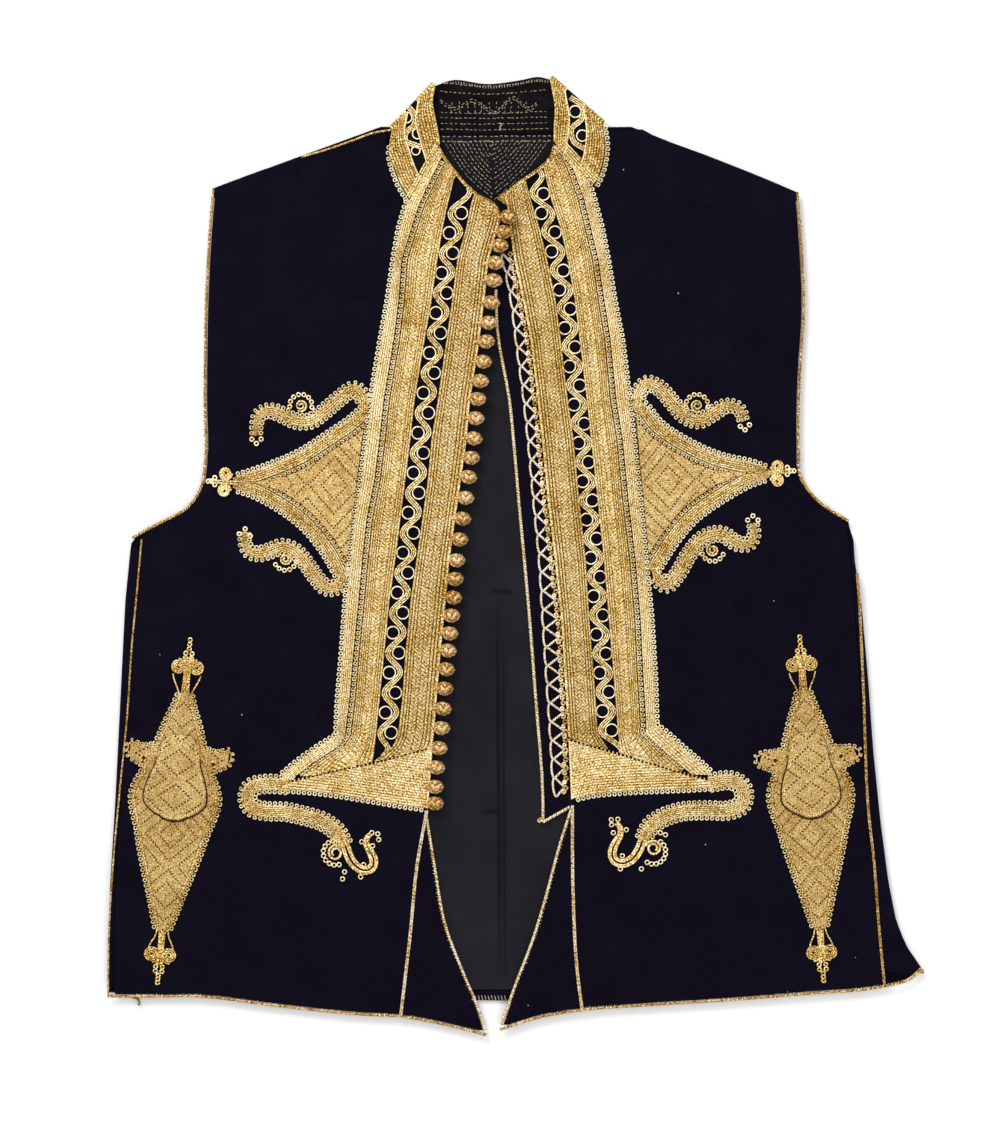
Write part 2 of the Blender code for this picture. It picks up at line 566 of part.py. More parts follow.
def collar_stations():
    """Cross lines of the collar from its left end to its right: two ends, outward normal, height."""
    mid_low = COLLAR_WALL / 2
    mid_fold = COLLAR_FOLD - COLLAR_WALL / 2
    mid_high = mid_low + 2 * mid_fold
    rows = []
    up = np.array([0, 0, 1.0])
    for ax, ay, bx, by in COLLAR_HALF_L:
        rows.append((ax, ay, bx, by, up, mid_high))
    for seam_to_top, out_sign, order in ((COLLAR_HALF_L[-1], 1, 1), (COLLAR_HALF_R[-1], -1, -1)):
        ax, ay, bx, by = seam_to_top
        run = np.array([bx - ax, by - ay])
        run /= np.linalg.norm(run)
        out = out_sign * np.array([-run[1], run[0]])
        turns = np.linspace(0, np.pi, 7)[1:]
        part = []
        for turn in turns:
            normal = np.array([out[0] * np.sin(turn), out[1] * np.sin(turn), np.cos(turn)])
            shift = out * mid_fold * np.sin(turn)
            height = mid_low + mid_fold * (1 + np.cos(turn))
            part.append((ax + shift[0], ay + shift[1], bx + shift[0], by + shift[1], normal, height))
        if order > 0:
            rows += part
            for row in COLLAR_BACK:
                rows.append((*row, -up, mid_low))
        else:
            rows += part[::-1]
    for ax, ay, bx, by in COLLAR_HALF_R[::-1]:
        rows.append((ax, ay, bx, by, up, mid_high))
    return rows


def collar():
    """The stand collar, one stiff band folded flat: its back lies down, its fronts fold over it."""
    verts, faces = [], []
    stations = collar_stations()
    for ax, ay, bx, by, normal, z in stations:
        a, b = np.array([ax, ay, z]), np.array([bx, by, z])
        half = normal * COLLAR_WALL / 2
        verts += [a - half, a + half, b + half, b - half]
    last = 4 * (len(stations) - 1)
    faces.append([3, 2, 1, 0])
    faces.append([last, last + 1, last + 2, last + 3])
    for k in range(0, last, 4):
        for i in range(4):
            j = (i + 1) % 4
            faces.append([k + i, k + j, k + 4 + j, k + 4 + i])
    return new_object("collar", verts, faces, wool())


# ---------------------------------------------------------------- braid and applique

def braid_relief(table):
    """Height above the cloth across a braid panel: low in the eyelet strip and the dotted row."""
    rows = np.array(table, float)[::-1]

    def height(x, y):
        across = [np.interp(y, rows[:, 0], rows[:, k]) for k in range(1, 6)]
        sign = np.sign(across[4] - across[0])
        into = np.minimum(sign * (x - across[1]), sign * (across[2] - x))
        strip_drop = (BRAID - OPENWORK) * np.clip(into / 0.8 + 0.5, 0, 1)
        dots = np.abs(x - across[3])
        dot_drop = 0.7 * np.clip(1 - dots / 1.6, 0, 1)
        ends = (y <= rows[-1, 0] + 1e-6) & (y >= rows[0, 0] - 1e-6)
        return BRAID - np.where(ends, np.maximum(strip_drop, dot_drop), 0)

    return height


def braid_panels():
    """The broad gold braid on each front: couched cords, a strip of eyelets, and a dotted row."""
    for name, table, neck, collar_seam, top, flare, eyelets, sign in (
            ("braid_left", BRAID_L, NECK_L, COLLAR_SEAM_L, FOOT_TOP_L, FLARE_L, EYELETS_L, 1),
            ("braid_right", BRAID_R, NECK_R, COLLAR_SEAM_R, FOOT_TOP_R, FLARE_R, EYELETS_R, -1)):
        rows = np.array(table, float)
        front_edge = rows[:, [1, 0]]
        outer_edge = rows[:, [5, 0]]
        start = beside(neck, sign * 0.1)
        keep = start[:, 1] > rows[0, 0] + 2
        outline = chain(start[keep], front_edge, beside(top, sign * GAP)[:-1], flare,
                        outer_edge[::-1], [np.array(collar_seam[-1]) + (0.2 * sign, -0.8)])
        relief = braid_relief(table)
        offsets = ((2, -0.4), (2, 0.4), (3, -0.4), (3, 0.4), (4, -1.6), (4, 0), (4, 1.6))
        lines = [np.column_stack([rows[:, k] + d, rows[:, 0]]) for k, d in offsets]
        holes = []
        y, pitch, count = eyelets
        for i in range(count):
            middle = (edge_x(table, y, 2) + edge_x(table, y, 3)) / 2
            away = -2.6 if i % 2 else 2.6
            holes.append(disc(middle + away, y, EYELET, 8))
            y -= pitch
        panel(name, [outline], on_front, lambda x, y, r=relief: on_front(x, y) + r(x, y), gold(),
              holes=holes, lines=lines)


def applique_over(x, y):
    return on_front(x, y) + APPLIQUE


def feet():
    """The wedge of level cords below each braid panel, with its tail and curl."""
    for name, top, bottom, tail, curl, sign in (
            ("foot_left", FOOT_TOP_L, FOOT_BOTTOM_L, TAIL_L, TAIL_CURL_L, 1),
            ("foot_right", FOOT_TOP_R, FOOT_BOTTOM_R, TAIL_R, TAIL_CURL_R, -1)):
        wedge = chain(beside(top, -sign * 0.05), bottom)
        parts = [wedge, *strip(smooth(tail, 2), SCROLL_HALF_WIDTH), disc(*curl)]
        panel(name, parts, on_front, applique_over, gold())


def wings():
    """The pointed wing on each side of the chest, with a scroll above and one below."""
    for name, table, upper, lower, scrolls, curls, finial, stem, sign in (
            ("wing_left", BRAID_L, WING_TOP_L, WING_BOTTOM_L, (SCROLL_TOP_L, SCROLL_LOW_L),
             SCROLL_CURLS_L, WING_FINIAL_L, WING_STEM_L, 1),
            ("wing_right", BRAID_R, WING_TOP_R, WING_BOTTOM_R, (SCROLL_TOP_R, SCROLL_LOW_R),
             SCROLL_CURLS_R, WING_FINIAL_R, WING_STEM_R, -1)):
        ys = np.linspace(-20, 104, 8)
        against = np.column_stack([edge_x(table, ys, 5) - sign * 0.4, ys])
        parts = [chain(smooth(upper, 2), smooth(lower, 2), against)]
        for scroll in scrolls:
            parts += strip(smooth(scroll, 2), SCROLL_HALF_WIDTH)
        parts += strip(stem, 2.0)
        parts += [disc(*c) for c in (*curls, *finial)]
        panel(name, parts, on_front, applique_over, gold())


def on_leaf(axis, points, width=1.0):
    """Places points given as across, along on a leaf's axis."""
    top, end = np.array(axis[0], float), np.array(axis[1], float)
    along = (end - top) / np.linalg.norm(end - top)
    across = np.array([-along[1], along[0]])
    p = np.array(points, float)
    return top + p[:, :1] * across * width + p[:, 1:] * along


def leaves():
    """The pocket leaves: a pointed leaf with ears and finials, and a flap over the pocket slit."""
    for side, axis, ear, width in (("left", LEAF_AXIS_L, LEAF_EAR_L, 1.0),
                                   ("right", LEAF_AXIS_R, LEAF_EAR_R, 0.94)):
        half = smooth([(w, a) for a, w in LEAF], 1)
        body = on_leaf(axis, chain(half, half[::-1] * (-1, 1)), width)
        parts = [body]
        for first, last in LEAF_STEMS:
            parts.append(on_leaf(axis, [(-2.2, first), (2.2, first), (2.2, last), (-2.2, last)]))
        for sign in (-1, 1):
            parts.append(on_leaf(axis, [(sign * a, b) for a, b in ear], width))
            for along, across, radius in LEAF_SPIRALS:
                centre = on_leaf(axis, [(sign * across, along)])[0]
                parts.append(disc(*centre, radius))
        for along in LEAF_CROSSES:
            parts.append(on_leaf(axis, [(-4.2, along - 1.6), (4.2, along - 1.6), (4.2, along + 1.6),
                                        (-4.2, along + 1.6)]))
        panel("pocket_leaf_" + side, parts, on_front, applique_over, gold())
        flap = smooth([(w, a) for a, w in FLAP], 1)
        shape = on_leaf(axis, chain(flap, flap[::-1] * (-1, 1)), width)
        middle = on_leaf(axis, [(0, 84), (0, 100), (0, 114)])
        centre = middle[1]

        def over(x, y, centre=centre):
            r2 = ((x - centre[0]) / 24)**2 + ((y - centre[1]) / 32)**2
            return applique_over(x, y) + GAP + 1.1 + 0.9 * np.clip(1 - r2, 0, 1)

        panel("pocket_flap_" + side, [shape], lambda x, y: applique_over(x, y) + GAP, over, gold(),
              extra=middle)


def collar_braid():
    """The gold braid on the folded front of each collar half."""
    floor = COLLAR_FOLD * 2 + GAP
    for name, half in (("collar_braid_left", COLLAR_HALF_L), ("collar_braid_right", COLLAR_HALF_R)):
        rows = np.array(half, float)
        seam, free = rows[:, :2], rows[:, 2:]
        across = free - seam
        across /= np.linalg.norm(across, axis=1)[:, None]
        outline = chain(seam + across * 0.6, (free - across * 0.6)[::-1])
        holes = []
        for t in np.linspace(0.22, 0.9, 5):
            k = t * (len(rows) - 1)
            a = np.array([np.interp(k, range(len(rows)), seam[:, i]) for i in (0, 1)])
            b = np.array([np.interp(k, range(len(rows)), free[:, i]) for i in (0, 1)])
            holes.append(disc(*(a + (b - a) * 0.55), 2.9, 8))
        panel(name, [outline], lambda x, y: floor + 0 * x, lambda x, y: floor + BRAID + 0 * x, gold(),
              holes=holes)


def button_loops():
    """The chain of cord loops for the buttons, lying on the underlap."""
    line = smooth(LOOP_LINE, 3)
    ys = np.linspace(line[0, 1], line[-1, 1], LOOP_COUNT + 1)
    outer = np.interp(ys, line[::-1, 1], line[::-1, 0])
    parts = strip(np.column_stack([outer + LOOP_DEPTH, ys]), 1.4)
    turns = np.linspace(-np.pi / 2, np.pi / 2, 5)
    for i in range(LOOP_COUNT):
        middle = (ys[i] + ys[i + 1]) / 2
        reach = (ys[i] - ys[i + 1]) / 2 - 0.9
        left = (outer[i] + outer[i + 1]) / 2 + LOOP_HALF_WIDTH
        loop = np.column_stack([left + LOOP_DEPTH * (1 - np.cos(turns)), middle - reach * np.sin(turns)])
        parts += strip(loop, LOOP_HALF_WIDTH)
    floor = UNDERLAP_FLOOR + WOOL + GAP
    panel("button_loops", parts, lambda x, y: floor + 0 * x, lambda x, y: floor + 1.6 + 0 * x, gold())


def buttons():
    """Thirty-two ball buttons of knotted cord: an egg with its stem towards the front edge."""
    turns = np.linspace(0, 2 * np.pi, 8, endpoint=False)
    profile = [(0.08, 0.30), (0.24, 0.70), (0.5, 1.0), (0.78, 0.72)]    # share of length, of radius
    for number, y in enumerate(BUTTON_ROWS, start=1):
        x = edge_x(BRAID_L, y) + BUTTON_REACH
        resting = LINING_FLOOR + LINING
        if y > 140:
            resting = UNDERLAP_FLOOR + WOOL / 2 + SEAM_CORD
        if number <= 4:
            resting = front_over(x, y) + GAP + BRAID
        centre_z = resting + 2 * GAP + BUTTON_RADIUS
        start = x - BUTTON_LENGTH / 2
        verts = [(start, y, centre_z)]
        for share, width in profile:
            ring = BUTTON_RADIUS * width
            verts += [(start + BUTTON_LENGTH * share, y + ring * np.cos(t), centre_z + ring * np.sin(t))
                      for t in turns]
        verts.append((start + BUTTON_LENGTH, y, centre_z))
        faces = [[0, 1 + i, 1 + (i + 1) % 8] for i in range(8)]
        for k in range(len(profile) - 1):
            a, b = 1 + 8 * k, 9 + 8 * k
            faces += [[a + i, b + i, b + (i + 1) % 8, a + (i + 1) % 8] for i in range(8)]
        tip, last = len(verts) - 1, len(verts) - 9
        faces += [[last + (i + 1) % 8, last + i, tip] for i in range(8)]
        thing = new_object(f"button_{number:02d}", verts, faces, gold_dark())
        thing.data.shade_smooth()


# ---------------------------------------------------------------- cords

def cords():
    """The round cords: armholes, side seams, hems with the gores' slanting edges, underlap."""
    for name, edge, sign in (("armhole_cord_left", ARMHOLE_L, -1), ("armhole_cord_right", ARMHOLE_R, 1)):
        path = beside(smooth(edge, 3), sign * EDGE_CORD)[1:-1]
        cord(name, path, front_under(path[:, 0], path[:, 1]) + WOOL / 2, EDGE_CORD, gold_dark())
    for name, seam in (("side_cord_left", SEAM_L), ("side_cord_right", SEAM_R)):
        path = smooth(seam, 2)[1:-1]
        cord(name, path, front_over(path[:, 0], path[:, 1]) + GAP + SEAM_CORD, SEAM_CORD, gold_dark())
    for name, hem, gore_hem, gore_edge, sign in (
            ("hem_cord_left", HEM_L, GORE_HEM_L, GORE_EDGE_L, -1),
            ("hem_cord_right", HEM_R, GORE_HEM_R, GORE_EDGE_R, 1)):
        level = beside(smooth(chain(hem, gore_hem[1:]), 2), sign * EDGE_CORD)
        slant = beside(smooth(gore_edge[::-1], 2), sign * EDGE_CORD)
        path = chain(level, slant[1:-1], [(slant[-2] + slant[-1]) / 2])
        heights = front_under(path[:, 0], path[:, 1]) + WOOL / 2
        cord(name, path, heights, EDGE_CORD, gold_dark())
    free = beside(smooth(UNDERLAP[1:], 2), -SEAM_CORD)
    low = beside(UNDERLAP_FOOT, -SEAM_CORD)
    path = chain(free[:-1], meet(free, low), low[1:])
    cord("placket_cord", path, np.full(len(path), UNDERLAP_FLOOR + WOOL / 2), SEAM_CORD, gold_dark())


def build():
    for old in list(bpy.data.objects):
        bpy.data.objects.remove(old, do_unlink=True)
    back_panel()
    back_lining()
    fronts()
    gores()
    placket()
    collar()
    braid_panels()
    feet()
    wings()
    leaves()
    collar_braid()
    button_loops()
    buttons()
    cords()


build()
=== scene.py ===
"""Looks of an embroidered folk vest, laid flat: navy wool, couched gold cords, ball buttons.

Tables and formulas are in millimetres in the frame's axes: X across the vest, Y towards the
collar, Z up from the surface it lies on. They go into the meshes as metres. "left" and "right"
are as seen from above. The pieces follow the order in which the vest is put together.
"""

import bmesh
import bpy
import numpy as np
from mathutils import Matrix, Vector


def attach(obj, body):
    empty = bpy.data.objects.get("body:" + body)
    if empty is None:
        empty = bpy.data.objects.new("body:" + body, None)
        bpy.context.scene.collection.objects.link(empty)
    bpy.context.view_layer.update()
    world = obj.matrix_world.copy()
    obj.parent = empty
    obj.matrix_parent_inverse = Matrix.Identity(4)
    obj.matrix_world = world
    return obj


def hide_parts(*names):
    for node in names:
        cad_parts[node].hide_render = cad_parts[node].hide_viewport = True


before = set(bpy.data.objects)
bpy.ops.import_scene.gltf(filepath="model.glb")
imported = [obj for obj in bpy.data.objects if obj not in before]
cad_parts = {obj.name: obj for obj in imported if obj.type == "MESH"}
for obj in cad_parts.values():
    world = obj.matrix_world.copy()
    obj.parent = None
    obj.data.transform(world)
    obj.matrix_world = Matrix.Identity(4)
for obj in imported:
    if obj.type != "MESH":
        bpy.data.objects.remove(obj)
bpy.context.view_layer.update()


# ---------------------------------------------------------------- camera, light and floor
# A camera straight above the vest, a plain white floor, and broad soft lamps with a faint
# warm one from the collar's side, which lets the cords cast short shadows.

MM = 0.001
VIEW_CENTRE = (-10.5, -5.6)
VIEW_HEIGHT = 789.6
LENS = 100.0
SENSOR = 36.0

camera = bpy.data.objects.new("camera", bpy.data.cameras.new("camera"))
camera.data.lens = LENS
camera.data.sensor_width = SENSOR
camera.data.sensor_fit = "AUTO"
camera.location = (VIEW_CENTRE[0] * MM, VIEW_CENTRE[1] * MM, VIEW_HEIGHT * MM * LENS / SENSOR)
camera.data.clip_end = 20.0
bpy.context.scene.collection.objects.link(camera)
bpy.context.scene.camera = camera
bpy.context.scene.view_settings.view_transform = "Standard"


def soft_lamp(name, place, size, watts, colour):
    """A square area lamp at a place in metres, aimed at the middle of the vest."""
    lamp = bpy.data.objects.new(name, bpy.data.lights.new(name, "AREA"))
    lamp.data.size = size
    lamp.data.energy = watts
    lamp.data.color = colour
    lamp.location = place
    aim = Vector((0.0, 0.0, 0.0)) - Vector(place)
    lamp.rotation_euler = aim.to_track_quat("-Z", "Y").to_euler()
    bpy.context.scene.collection.objects.link(lamp)


soft_lamp("lamp_collar_side", (-0.9, 1.5, 1.5), 1.0, 34.0, (1.0, 0.97, 0.93))
soft_lamp("lamp_hem_side", (1.2, -1.3, 1.9), 1.8, 14.0, (0.94, 0.97, 1.0))

sky = bpy.data.worlds.new("sky")
sky.use_nodes = True
sky.node_tree.nodes["Background"].inputs["Color"].default_value = (1.0, 1.0, 1.0, 1.0)
sky.node_tree.nodes["Background"].inputs["Strength"].default_value = 0.80
bpy.context.scene.world = sky

floor_mesh = bpy.data.meshes.new("floor")
floor_mesh.from_pydata([(-6, -6, -0.0006), (6, -6, -0.0006), (6, 6, -0.0006), (-6, 6, -0.0006)], [], [(0, 1, 2, 3)])
floor = bpy.data.objects.new("floor", floor_mesh)
bpy.context.scene.collection.objects.link(floor)
paper = bpy.data.materials.new("white_paper")
paper.use_nodes = True
paper.node_tree.nodes["Principled BSDF"].inputs["Base Color"].default_value = (0.93, 0.93, 0.93, 1)
paper.node_tree.nodes["Principled BSDF"].inputs["Roughness"].default_value = 0.9
floor_mesh.materials.append(paper)


# ---------------------------------------------------------------- back panel
# The back is one cut of fulled navy wool. It lies flat, and its sides fold over to the side
# seams on the front, where the side cords are sewn.

WOOL = 1.6
GAP = 0.3
FRONT_FLOOR = 3.6
HAIRPIN = (FRONT_FLOOR + WOOL) / 2
EDGE_CORD = 1.0
SEAM_CORD = 1.1
# The sides: place in the tables that have one entry for each, word, and sign of X towards the middle
SIDES = ((0, "left", 1), (1, "right", -1))
ARMHOLE = ([(-211.5, 257), (-214, 228), (-216.5, 179), (-217.5, 109), (-217.5, 63.5), (-220.5, 47.5),
            (-229, 35), (-248.5, 24), (-268, 13.5)],
           [(198, 254), (200, 228), (202.5, 172), (199.5, 123), (199, 74), (200, 56.5), (208, 43.5),
            (220.5, 33), (236, 24)])
SIDE = ([(-268, 13.5), (-272.5, -31), (-276, -101), (-279.5, -171), (-283, -227), (-284.6, -269),
         (-284.6, -308.5)],
        [(236, 24), (237.5, -3), (242, -31), (247, -87), (250.5, -136), (255.5, -185), (261, -227),
         (266.5, -255), (273.5, -272.5), (284.6, -288.5)])
SHOULDER = ([(-211.5, 257), (-176.5, 270), (-135, 284), (-91, 301)],
            [(198, 254), (177, 263), (133, 280.5), (96, 294.5), (75, 305), (66.5, 306)])
SEAM = ([(-260.5, 13.5), (-263.5, -20.5), (-268, -69.5), (-270.5, -112.5), (-275, -164),
         (-277.6, -198), (-279.3, -232.5), (-280.4, -269), (-280.4, -308.5)],
        [(231.6, 22), (235.6, -13.5), (238.6, -54.5), (241.5, -101), (243.5, -131.5), (246, -177),
         (250, -213.5), (253.5, -259.5), (257.5, -301.5)])
# The back: heights at which a side's fold begins, is whole and ends; ends of the shoulder lines;
# and the outline at the hem, its heights and their x
FOLD = ((13, 5, -301),
        (24, -4, -290))
BACK_SHOULDER = (((-211.5, 257), (-91, 301)),
                 ((198, 254), (66, 306)))
BACK_HEM = (((-311, -310, -306.8, -306.3), (-10, -80, -260, -400)),
            ((-311, -309, -306.8, -303.8, -301, -295.8, -289), (-10, 88, 150, 206, 257, 276, 284)))


def distances(path):
    """Distance from its start, at each point of a line."""
    return np.concatenate([[0], np.cumsum(np.linalg.norm(np.diff(path, axis=0), axis=1))])


def unit(v):
    """Vectors of length one."""
    return v / np.linalg.norm(v, axis=-1, keepdims=True)


def right_of(run):
    """Directions turned to the right, seen from above."""
    return np.column_stack([run[:, 1], -run[:, 0]])


def places(path, marks, at):
    """Points of a path at other places of the scale on which its own ones lie at the marks."""
    return np.column_stack([np.interp(at, marks, column) for column in path.T])


def smooth(points, steps=3):
    """Cubic curve through the points, with tangents from the neighbouring chords."""
    p = np.array(points, float)
    if len(p) < 3 or steps < 2:
        return p
    t = distances(p)
    slope = np.diff(p, axis=0) / np.diff(t)[:, None]
    near = np.diff(t)
    before, after = near[:-1, None], near[1:, None]
    tangent = np.concatenate([slope[:1], (slope[:-1] * after + slope[1:] * before) / (before + after), slope[-1:]])
    s = np.linspace(0, 1, steps, endpoint=False)[None, :, None]
    h = near[:, None, None]
    run = ((2 * s**3 - 3 * s**2 + 1) * p[:-1, None] + (s**3 - 2 * s**2 + s) * h * tangent[:-1, None]
           + (-2 * s**3 + 3 * s**2) * p[1:, None] + (s**3 - s**2) * h * tangent[1:, None])
    return np.concatenate([run.reshape(-1, p.shape[1]), p[-1:]])


def spaced(path, pitch):
    """The path again, with its points evenly about a pitch apart."""
    t = distances(path)
    return places(path, t, np.linspace(0, t[-1], max(2, int(round(t[-1] / pitch)) + 1)))


def evenly(path, count):
    """The path with another number of points, spread over its own points."""
    return places(path, np.linspace(0, 1, len(path)), np.linspace(0, 1, count))


def beside(path, distance):
    """The path moved to its right, seen from above, by a distance that may change along it."""
    p = np.array(path, float)
    return p + right_of(unit(np.gradient(p, axis=0))) * np.broadcast_to(distance, len(p))[:, None]


def x_at(path, y):
    """X of a path at the heights y, for a path that runs down the vest."""
    p = np.array(path, float)
    p = p[np.argsort(p[:, 1], kind="stable")]
    return np.interp(y, p[:, 1], p[:, 0])


def grid_faces(rows, columns, first=0):
    """Four-sided faces of a grid of points stored row by row."""
    corner = first + (np.arange(rows - 1)[:, None] * columns + np.arange(columns - 1)).ravel()
    return np.column_stack([corner, corner + 1, corner + columns + 1, corner + columns])


def round_faces(rows, sides):
    """Faces of a closed tube of points stored ring by ring."""
    i = np.arange(rows * sides).reshape(rows, sides)
    j = np.roll(i, -1, 1)
    walls = np.column_stack([i[:-1].ravel(), j[:-1].ravel(), j[1:].ravel(), i[1:].ravel()])
    return [walls, [i[0][::-1].tolist()], [i[-1].tolist()]]


def part(co, faces, deep=0.0, tone=0.5, flow=None):
    """Points, faces, and for each point how deep in a groove it lies, which sets its painted shade,
    its tone, and its flow map.

    On a field of nested rhombs and on a twisted cord, the flow map holds the distances q and w of
    their furrows and holes, and the value rhomb says how dark these are; the furrows are painted shade.
    """
    co = np.asarray(co, float).reshape(-1, 3)
    flow = co[:, :2] if flow is None else flow.reshape(-1, 2)
    deep, tone = (np.broadcast_to(np.ravel(value), len(co)) for value in (deep, tone))
    return {"co": co, "faces": faces, "deep": deep, "tone": tone, "flow": flow, "rhomb": np.zeros(len(co))}


def piece(name, parts, finish, replaces=()):
    """Joins closed parts into one named piece that rides with the vest."""
    faces, base = [], 0
    for p in parts:
        for group in p["faces"]:
            faces += (np.asarray(group) + base).tolist()
        base += len(p["co"])
    mesh = bpy.data.meshes.new(name)
    mesh.from_pydata(np.concatenate([p["co"] for p in parts]) * MM, [], faces)
    for field in ("deep", "tone", "rhomb"):
        values = np.concatenate([p[field] for p in parts]).astype(np.float32)
        mesh.attributes.new(field, "FLOAT", "POINT").data.foreach_set("value", values)
    flow = np.concatenate([p["flow"] for p in parts])
    corner = np.empty(len(mesh.loops), np.int32)
    mesh.loops.foreach_get("vertex_index", corner)
    mesh.uv_layers.new(name="flow").data.foreach_set("uv", (flow[corner] * MM).astype(np.float32).ravel())
    work = bmesh.new()
    work.from_mesh(mesh)
    bmesh.ops.recalc_face_normals(work, faces=work.faces)
    work.to_mesh(mesh)
    work.free()
    mesh.shade_smooth()
    mesh.set_sharp_from_angle(angle=np.radians(62))
    mesh.materials.append(finish)
    thing = bpy.data.objects.new(name, mesh)
    bpy.context.scene.collection.objects.link(thing)
    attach(thing, "root")
    if replaces:
        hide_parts(*replaces)
    return thing


def shell(over, under):
    """A closed wall between two grids of points, joined round all four edges."""
    rows, columns = over.shape[:2]
    count = rows * columns
    i = np.arange(count).reshape(rows, columns)
    rim = np.concatenate([i[0, :-1], i[:-1, -1], i[-1, :0:-1], i[:0:-1, 0]])
    after = np.roll(rim, -1)
    sides = np.column_stack([rim, after, after + count, rim + count])
    return part(np.concatenate([over.reshape(-1, 3), under.reshape(-1, 3)]),
                [grid_faces(rows, columns), grid_faces(rows, columns, count)[:, ::-1], sides])


class Nodes:
    """A material being wired: add() makes a node with its inputs set, or linked to an output."""

    def __init__(self, name):
        self.made = bpy.data.materials.new(name)
        self.made.use_nodes = True
        self.tree = self.made.node_tree
        self.shader = self.tree.nodes["Principled BSDF"]

    def put(self, node, inputs):
        for key, value in inputs.items():
            if isinstance(value, bpy.types.NodeSocket):
                self.tree.links.new(value, node.inputs[key])
            else:
                node.inputs[key].default_value = value

    def add(self, kind, inputs=None, **settings):
        node = self.tree.nodes.new("ShaderNode" + kind)
        for key, value in settings.items():
            setattr(node, key, value)
        self.put(node, inputs or {})
        return node

    def ramp(self, factor, stops):
        node = self.add("ValToRGB", {"Fac": factor})
        band = node.color_ramp
        while len(band.elements) < len(stops):
            band.elements.new(0.5)
        for element, (place, colour) in zip(band.elements, stops):
            element.position = place
            element.color = (*colour, 1)
        return node.outputs["Color"]

    def math(self, what, first, second):
        return self.add("Math", {0: first, 1: second}, operation=what).outputs[0]

    def mix(self, factor, first, second):
        node = self.add("Mix", data_type="RGBA")
        self.put(node, {0: factor, 6: first, 7: (*second, 1)})
        return node.outputs[2]

    def noise(self, scale, detail, roughness=0.5):
        place = self.add("TexCoord").outputs["Object"]
        return self.add("TexNoise", {"Vector": place, "Scale": scale, "Detail": detail,
                                     "Roughness": roughness}).outputs["Fac"]

    def ribs(self, scale, uneven, direction):
        place = self.add("TexCoord").outputs["Object"]
        return self.add("TexWave", {"Vector": place, "Scale": scale, "Distortion": uneven},
                        bands_direction=direction).outputs["Fac"]

    def attribute(self, name):
        return self.add("Attribute", attribute_name=name).outputs["Fac"]

    def close(self, colour, roughness, specular, relief=None, strength=0.0, depth=0.0, metallic=0.0):
        """Sets the surface, with a relief as bump of that depth in metres, and gives the material."""
        self.put(self.shader, {"Base Color": colour, "Roughness": roughness, "Specular IOR Level": specular,
                               "Metallic": metallic})
        if relief:
            bump = self.add("Bump", {"Height": relief, "Strength": strength, "Distance": depth})
            self.put(self.shader, {"Normal": bump.outputs["Normal"]})
        return self.made


def wool_finish():
    """Fulled cloth: a mottled ground, a short nap as fine bump, and pale specks of lint."""
    n = Nodes("fulled_navy_wool")
    nap = n.noise(1500.0, 3.0, 0.7)
    both = n.math("ADD", n.math("MULTIPLY", n.noise(38.0, 5.0, 0.65), 0.55), n.math("MULTIPLY", nap, 0.45))
    ground = n.ramp(both, [(0.36, (0.0026, 0.0019, 0.0058)), (0.66, (0.0056, 0.0043, 0.0120))])
    place = n.add("TexCoord").outputs["Object"]
    cells = n.add("TexVoronoi", {"Vector": place, "Scale": 105.0, "Randomness": 1.0})
    chosen = n.math("GREATER_THAN", n.add("SeparateColor", {0: cells.outputs["Color"]}).outputs[0], 0.95)
    speck = n.math("MULTIPLY", n.math("LESS_THAN", cells.outputs["Distance"], 0.055), chosen)
    return n.close(n.mix(speck, ground, (0.34, 0.33, 0.33)), 0.92, 0.04, nap, 0.5, 0.0004)


navy_wool = wool_finish()


